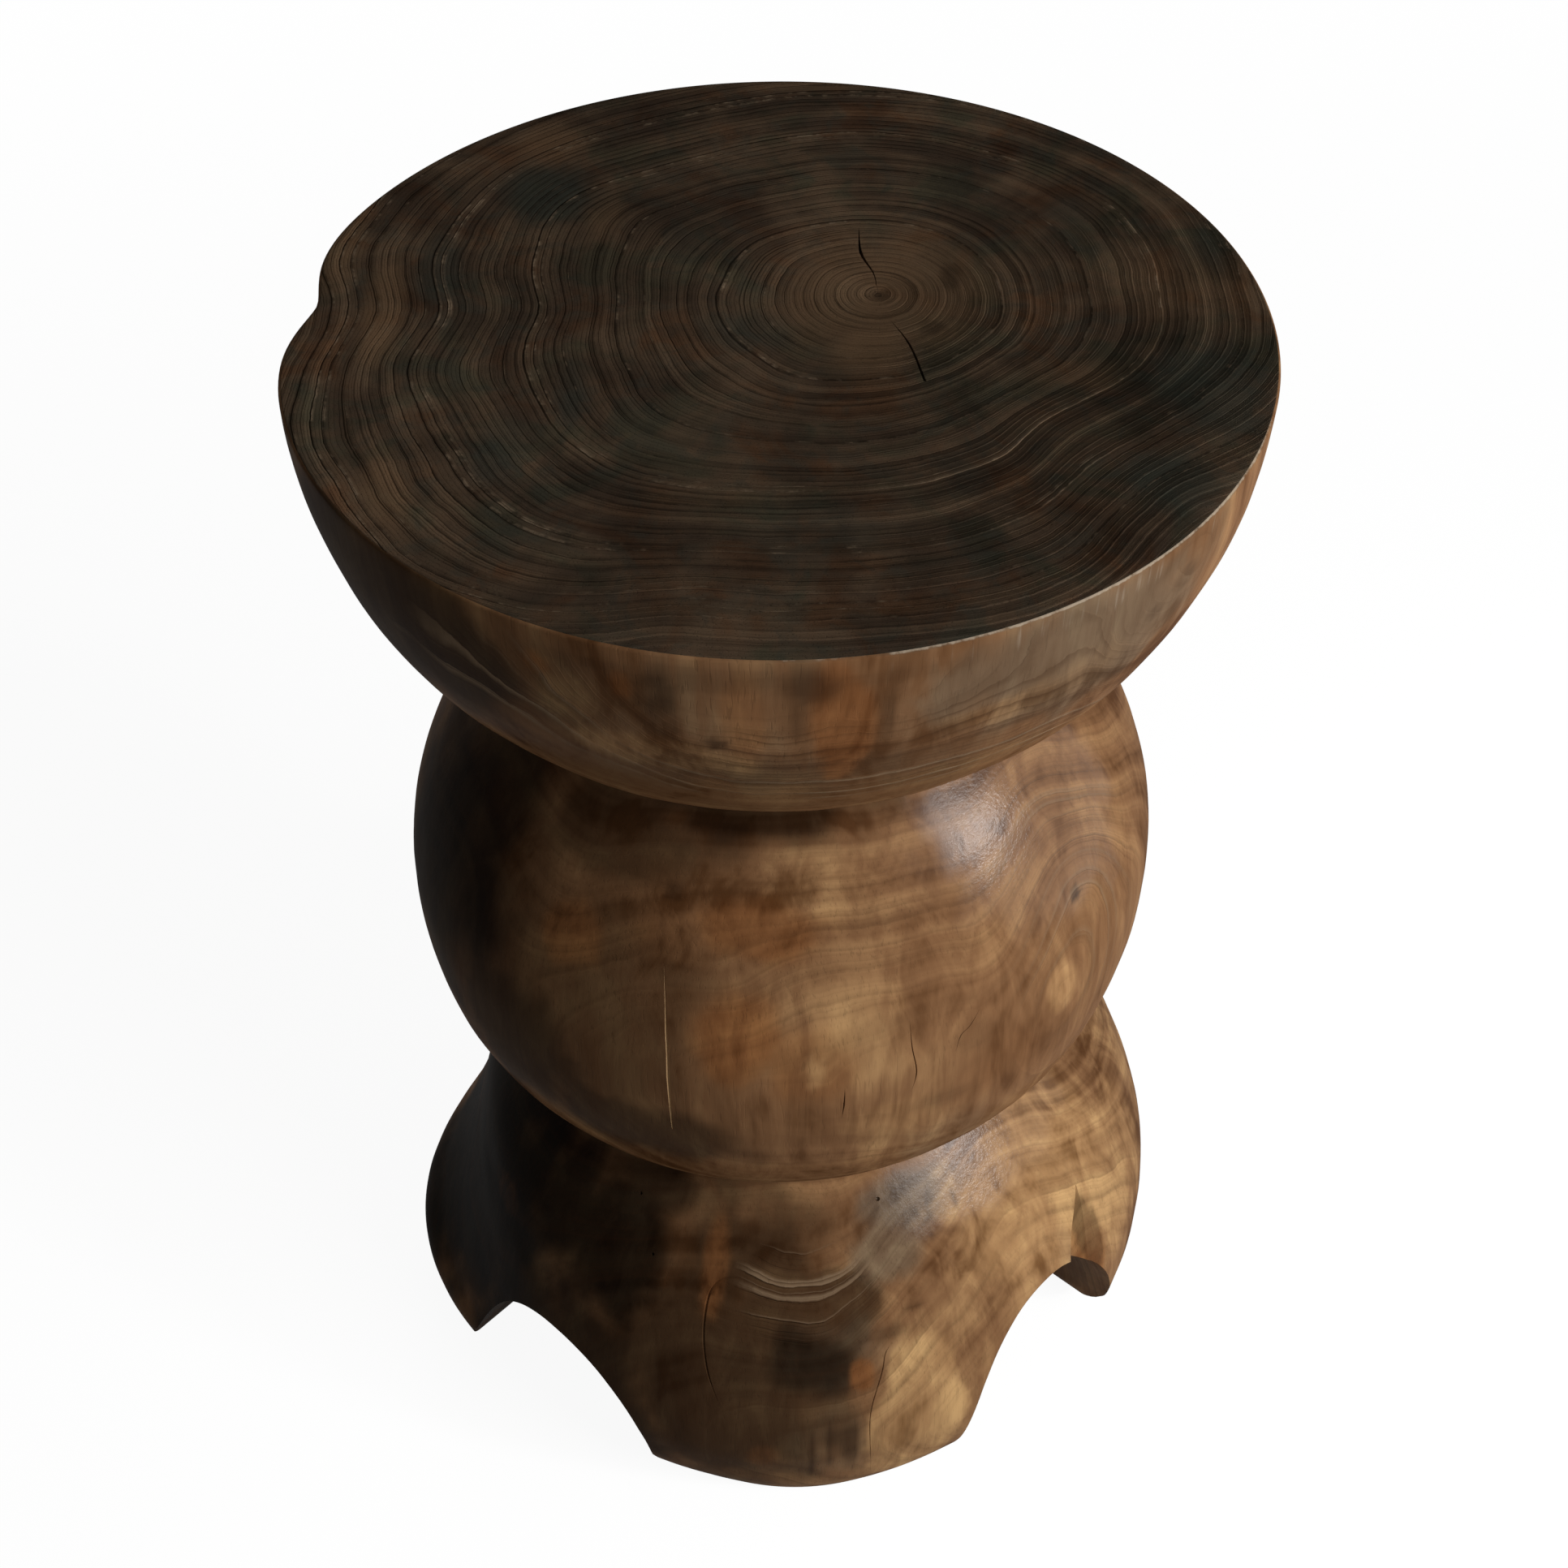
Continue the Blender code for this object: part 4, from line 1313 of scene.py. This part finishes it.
@dataclass
class CarvedBody:
    """The one-piece carved block, at a fine grain."""

    form: BlockForm = field(default_factory=BlockForm)
    figure: LogFigure = field(default_factory=LogFigure)
    columns: int = 288
    base_rows: int = 54
    ball_rows: int = 58
    bowl_rows: int = 42
    rim_rows: int = 4
    seat_rings: int = 56
    swell: float = 0.00030
    # layers for swells(): the carved skin, and the uneven outlines of the patches
    carving: tuple[Row, ...] = ((1.0, 0.028, 1.0, 3.0), (0.6, 0.012, 1.0, 8.0))
    ragged: tuple[Row, ...] = ((0.30, 0.014, 0.6, 21.0), (0.10, 0.006, 1.0, 2.0))
    held_floor: float = 0.02
    held_rim: float = 0.01
    pith_radius: float = 0.0018
    pith_depth: float = 0.0008
    pith_gap: float = 0.012
    pith_reach: float = 0.006
    pit_top: float = 0.05
    degree_share: float = 0.0052
    # painted shade in recesses such as the tunnels: its strength, the sunk depths over which it grows and the
    # heights where it fades out
    recess_shade: float = 0.45
    inner_depth: tuple[float, float] = (0.002, 0.012)
    inner_top: tuple[float, float] = (0.40, 0.42)
    face_slack: float = 0.0001
    point_slack: float = 0.00005
    smooth_degrees: float = 32.0
    foot_degrees: tuple[float, ...] = (45.0, 135.0, 225.0, 315.0)
    checks: tuple[DryingCheck, ...] = (
        DryingCheck("cut_check_back", ((-0.0413, 0.1332, 0.10), (-0.0187, 0.1090, 1.00),
                                       (0.0049, 0.0949, 0.45), (0.0180, 0.0830, 0.15)),
                    0.0010, 0.0030, True, Face.BURNT),
        DryingCheck("cut_check_front", ((0.0480, 0.0600, 0.05), (0.0790, 0.0450, 0.70),
                                        (0.1135, 0.0195, 0.80)), 0.0010, 0.0030, True, Face.BURNT),
        DryingCheck("cut_ball_scar", ((24.1, 0.637, 0.20), (25.0, 0.608, 0.60), (25.7, 0.568, 1.00),
                                      (26.0, 0.527, 1.00), (26.1, 0.485, 0.40)),
                    0.0009, 0.0005, False, Face.SCAR),
        DryingCheck("cut_ball_check_a", ((72.3, 0.586, 0.10), (70.2, 0.573, 1.00), (68.5, 0.567, 0.80),
                                         (67.6, 0.554, 0.10)), 0.0005, 0.0006, False),
        DryingCheck("cut_ball_check_b", ((60.8, 0.596, 0.10), (60.9, 0.571, 0.70), (61.5, 0.546, 1.00),
                                         (60.8, 0.525, 0.10)), 0.0005, 0.0006, False),
        DryingCheck("cut_ball_check_c", ((51.0, 0.544, 0.10), (50.9, 0.526, 1.00), (50.6, 0.509, 0.10)),
                    0.0005, 0.0006, False),
        DryingCheck("cut_ball_check_d", ((205.0, 0.630, 0.10), (206.0, 0.585, 0.90), (205.4, 0.540, 1.00),
                                         (206.2, 0.505, 0.10)), 0.0009, 0.0015, False),
        DryingCheck("cut_foot_groove", ((35.0, 0.275, 0.10), (32.4, 0.273, 0.60), (30.4, 0.264, 0.90),
                                        (29.8, 0.248, 1.00), (29.9, 0.223, 1.00), (30.7, 0.197, 0.80),
                                        (32.0, 0.174, 0.50), (33.8, 0.149, 0.10)), 0.0013, 0.0007, False),
        DryingCheck("cut_foot_seam", ((58.6, 0.217, 0.10), (57.5, 0.208, 0.80), (56.8, 0.192, 1.00),
                                      (54.9, 0.156, 0.80), (54.6, 0.118, 0.70), (55.4, 0.045, 0.20)),
                    0.0006, 0.0005, False),
    )
    holes: tuple[WormHole, ...] = (
        WormHole(60.7, 0.319, 0.0009, 0.0012), WormHole(19.4, 0.275, 0.0006, 0.0010),
        WormHole(14.0, 0.308, 0.0006, 0.0010), WormHole(188.0, 0.480, 0.0009, 0.0020))

    def build(self) -> Piece:
        """Shape the block, cut it and keep its figure on the mesh.

        Returns:
            The finished piece.
        """
        piece = wrapped_grid("carved_log", self.skin())
        self.undulate(piece)
        self.char_seat(piece)
        self.cut(piece)
        self.paint(piece)
        pick(piece)
        bpy.ops.object.shade_smooth_by_angle(angle=math.radians(self.smooth_degrees))
        return piece

    def skin(self) -> Array:
        """Return the block's skin as rows of points, floor to pith."""
        form, azimuth = self.form, np.linspace(0.0, 2.0 * math.pi, self.columns, endpoint=False)
        ball_foot, bowl_foot = form.ball_middle - form.ball_lower_half, form.height - form.bowl_depth
        low = form.crease(form.base, form.ball, azimuth, ball_foot, form.ball_middle)
        high = form.crease(form.ball, form.bowl, azimuth, bowl_foot, form.height)
        floor = np.full_like(azimuth, form.foot_clearance)
        shoulder = np.full_like(azimuth, form.height - form.rim_round)
        outline = []
        for lobe, count, start, end in ((form.base, self.base_rows, floor, low),
                                        (form.ball, self.ball_rows, low, high),
                                        (form.bowl, self.bowl_rows, high, shoulder)):
            for i in range(count):
                level = start + (end - start) * i / count
                outline.append((lobe(level, azimuth), level))
        edge = form.bowl(shoulder, azimuth) - form.rim_round
        for i in range(self.rim_rows + 1):
            turn = 0.5 * math.pi * i / self.rim_rows
            outline.append((edge + form.rim_round * math.cos(turn),
                            shoulder + form.rim_round * math.sin(turn)))
        away = np.stack([np.sin(azimuth), -np.cos(azimuth)], 1)
        rows = [np.column_stack([away * radius[:, None], level]) for radius, level in outline]
        last, pith = rows[-1], np.array([*self.figure.pith_top, form.height])
        for i in range(1, self.seat_rings + 1):
            share = 1.0 - (i / self.seat_rings)
            ring = pith + (last - pith) * (self.pith_gap * (share > 0.0) + (1.0 - self.pith_gap) * share)
            gap = np.hypot(ring[:, 0] - pith[0], ring[:, 1] - pith[1])
            ring[:, 2] -= self.pith_depth * np.maximum(0.0, 1.0 - gap / self.pith_radius)
            rows.append(ring)
        return np.array(rows)

    def undulate(self, piece: Piece) -> None:
        """Give the skin the faint swells that hand carving leaves.

        Args:
            piece: The block.
        """
        points = mesh_points(piece)
        radius = np.hypot(points[:, 0], points[:, 1])
        away = points / np.maximum(radius, 1e-6)[:, None]
        away[:, 2] = 0.0
        held = soft_step(0.0, self.held_floor, points[:, 2])
        held *= soft_step(0.0, self.held_rim, self.form.height - points[:, 2])
        place_points(piece, points + away * (self.swell * held * swells(points, self.carving))[:, None])

    def char_seat(self, piece: Piece) -> None:
        """Put the seat's own faces in the burnt slot and the rest in the waxed one."""
        set_face(piece, Face.WAXED)
        for polygon in piece.data.polygons:
            if self.on_seat(np.array(polygon.center), self.face_slack, self.pith_reach):
                polygon.material_index = Face.BURNT.value

    def on_seat(self, points: Array, slack: float, reach: float) -> Array:
        """Tell which points are on the seat or in the pit at the pith.

        Args:
            points: One point, or rows of them.
            slack: How far under the seat's level still counts.
            reach: How far round the pith the pit goes.

        Returns:
            True or False for each point.
        """
        x, y, z = points.T
        pit = np.hypot(x - self.figure.pith_top[0], y - self.figure.pith_top[1]) < reach
        return (z > self.form.height - slack) | (pit & (z > self.form.height - self.pit_top))

    def cut(self, piece: Piece) -> None:
        """Cut the tunnels, the crevice, the checks and the glide seats.

        Args:
            piece: The block.
        """
        right = ArchMouth((0.0440, 0.0035), (0.0480, 0.0100), 0.0890, -0.0081)
        front = ArchMouth((0.0500, 0.0100), (0.0465, 0.0035), 0.0720, 0.0108)
        hidden = ArchMouth((0.0475, 0.0100), (0.0475, 0.0100), 0.0810, 0.0)
        x_axis, y_axis = Vector((1.0, 0.0, 0.0)), Vector((0.0, 1.0, 0.0))
        cutters = [ArchTunnel("cut_tunnel_x", x_axis, y_axis, right, hidden).build(),
                   ArchTunnel("cut_tunnel_y", -y_axis, x_axis, front, hidden).build(),
                   Crevice(self.form).build()]
        cutters += [check.build(self.form) for check in self.checks]
        cutters += [hole.build(self.form) for hole in self.holes]
        cutters += [GlideSeat(degrees).build() for degrees in self.foot_degrees]
        shelf = bpy.data.collections.new("cutters")
        bpy.context.scene.collection.children.link(shelf)
        for cutter in cutters:
            for holder in list(cutter.users_collection):
                holder.objects.unlink(cutter)
            shelf.objects.link(cutter)
        step = piece.modifiers.new("cuts", "BOOLEAN")
        step.operation, step.solver, step.operand_type = "DIFFERENCE", "EXACT", "COLLECTION"
        step.collection, step.material_mode = shelf, "INDEX"
        bpy.context.view_layer.objects.active = piece
        bpy.ops.object.modifier_apply(modifier=step.name)
        for cutter in cutters:
            bpy.data.objects.remove(cutter)
        bpy.data.collections.remove(shelf)

    def paint(self, piece: Piece) -> None:
        """Keep the ring distance and the tints on the mesh, with painted shade added to the dark tint where
        the skin is sunk.

        Args:
            piece: The block.
        """
        points = mesh_points(piece)
        self.keep(piece, "ring", self.figure.distance(points))
        seat = 1.0 * self.on_seat(points, self.point_slack, 0.5 * self.pith_reach)
        radians = np.arctan2(points[:, 0], -points[:, 1])
        azimuth, shares = np.degrees(radians), points / self.form.height
        # painted shade: the deeper a point lies under the outer skin, as in the tunnels and the cleft, the
        # darker, fading out near the seat
        sunk = self.form.outer_radius(points[:, 2], radians) - np.hypot(points[:, 0], points[:, 1])
        recess_shade_mask = soft_step(*self.inner_depth, sunk) * (1.0 - soft_step(*self.inner_top, points[:, 2]))
        ragged = swells(points, self.ragged)

        def cover(patch: Patch, a: Array, b: Array, half: float) -> Array:
            """Return how strongly one patch covers each point."""
            away = np.hypot(a / half, b / patch.half_second) + ragged
            return patch.strength * (1.0 - soft_step(1.0 - patch.edge, 1.0 + patch.edge, away))

        for tint in Tint:
            total = np.zeros(len(points))
            for patch in (Patch(*row) for row in SIDE_PATCHES.get(tint, ())):
                a = ((azimuth - patch.first + 180.0) % 360.0 - 180.0) * self.degree_share
                side = cover(patch, a, shares[:, 2] - patch.second, patch.half_first * self.degree_share)
                total = np.maximum(total, side * (1.0 - seat))
            for patch in (Patch(*row) for row in SEAT_PATCHES.get(tint, ())):
                a, b = shares[:, 0] - patch.first, shares[:, 1] - patch.second
                turn = math.radians(patch.lean)
                a, b = a * math.cos(turn) + b * math.sin(turn), b * math.cos(turn) - a * math.sin(turn)
                total = np.maximum(total, cover(patch, a, b, patch.half_first) * seat)
            # the painted shade in recesses is laid into the dark tint
            if tint is Tint.DARK:
                total = np.maximum(total, self.recess_shade * recess_shade_mask)
            self.keep(piece, tint.value, total)

    def keep(self, piece: Piece, name: str, values: Array) -> None:
        """Store one value for each vertex of the piece."""
        layer = piece.data.attributes.new(name, "FLOAT", "POINT")
        layer.data.foreach_set("value", values.astype(np.float32))

    def dress(self, piece: Piece, finishes: dict[Face, Finish]) -> None:
        """Give the piece its finishes and put it on its body in place of the plain block."""
        for face, finish in finishes.items():
            piece.material_slots[face.value].material = finish
        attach(piece, "root")
        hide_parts("carved_body")


@dataclass
class FootGlides:
    """The four nylon glides and the steel nails that hold them."""

    places: tuple[str, ...] = ("front", "right", "back", "left")

    def dress(self, nylon: Finish, steel: Finish) -> list[str]:
        """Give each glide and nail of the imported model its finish.

        Args:
            nylon: The glides' finish.
            steel: The nails' finish.

        Returns:
            The names of the dressed nodes.
        """
        named = []
        for place in self.places:
            for name, finish in ((f"glide_{place}", nylon), (f"glide_nail_{place}", steel)):
                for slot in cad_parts[name].material_slots:
                    slot.material = finish
                named.append(name)
        return named


def main() -> None:
    """Build the view, the studio and the stool in order."""
    logging.basicConfig(level=logging.INFO, format="%(name)s: %(message)s")
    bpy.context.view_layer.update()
    StudioCamera().build()
    Studio().build()
    figure, fibres = figure_group(ring_group()), fibre_group()
    carved = CarvedBody()
    block = carved.build()
    waxed = WaxedTeak()
    carved.dress(block, {Face.WAXED: waxed.build(figure, fibres), Face.SCAR: waxed.build_scar(fibres),
                         Face.BURNT: BurntTeak().build(figure, fibres)})
    log.info("%s: %d vertices, %d faces", block.name, len(block.data.vertices), len(block.data.polygons))
    for name in FootGlides().dress(NylonFinish().build(), SteelFinish().build()):
        log.info("%s: dressed", name)


if __name__ == "__main__":
    main()
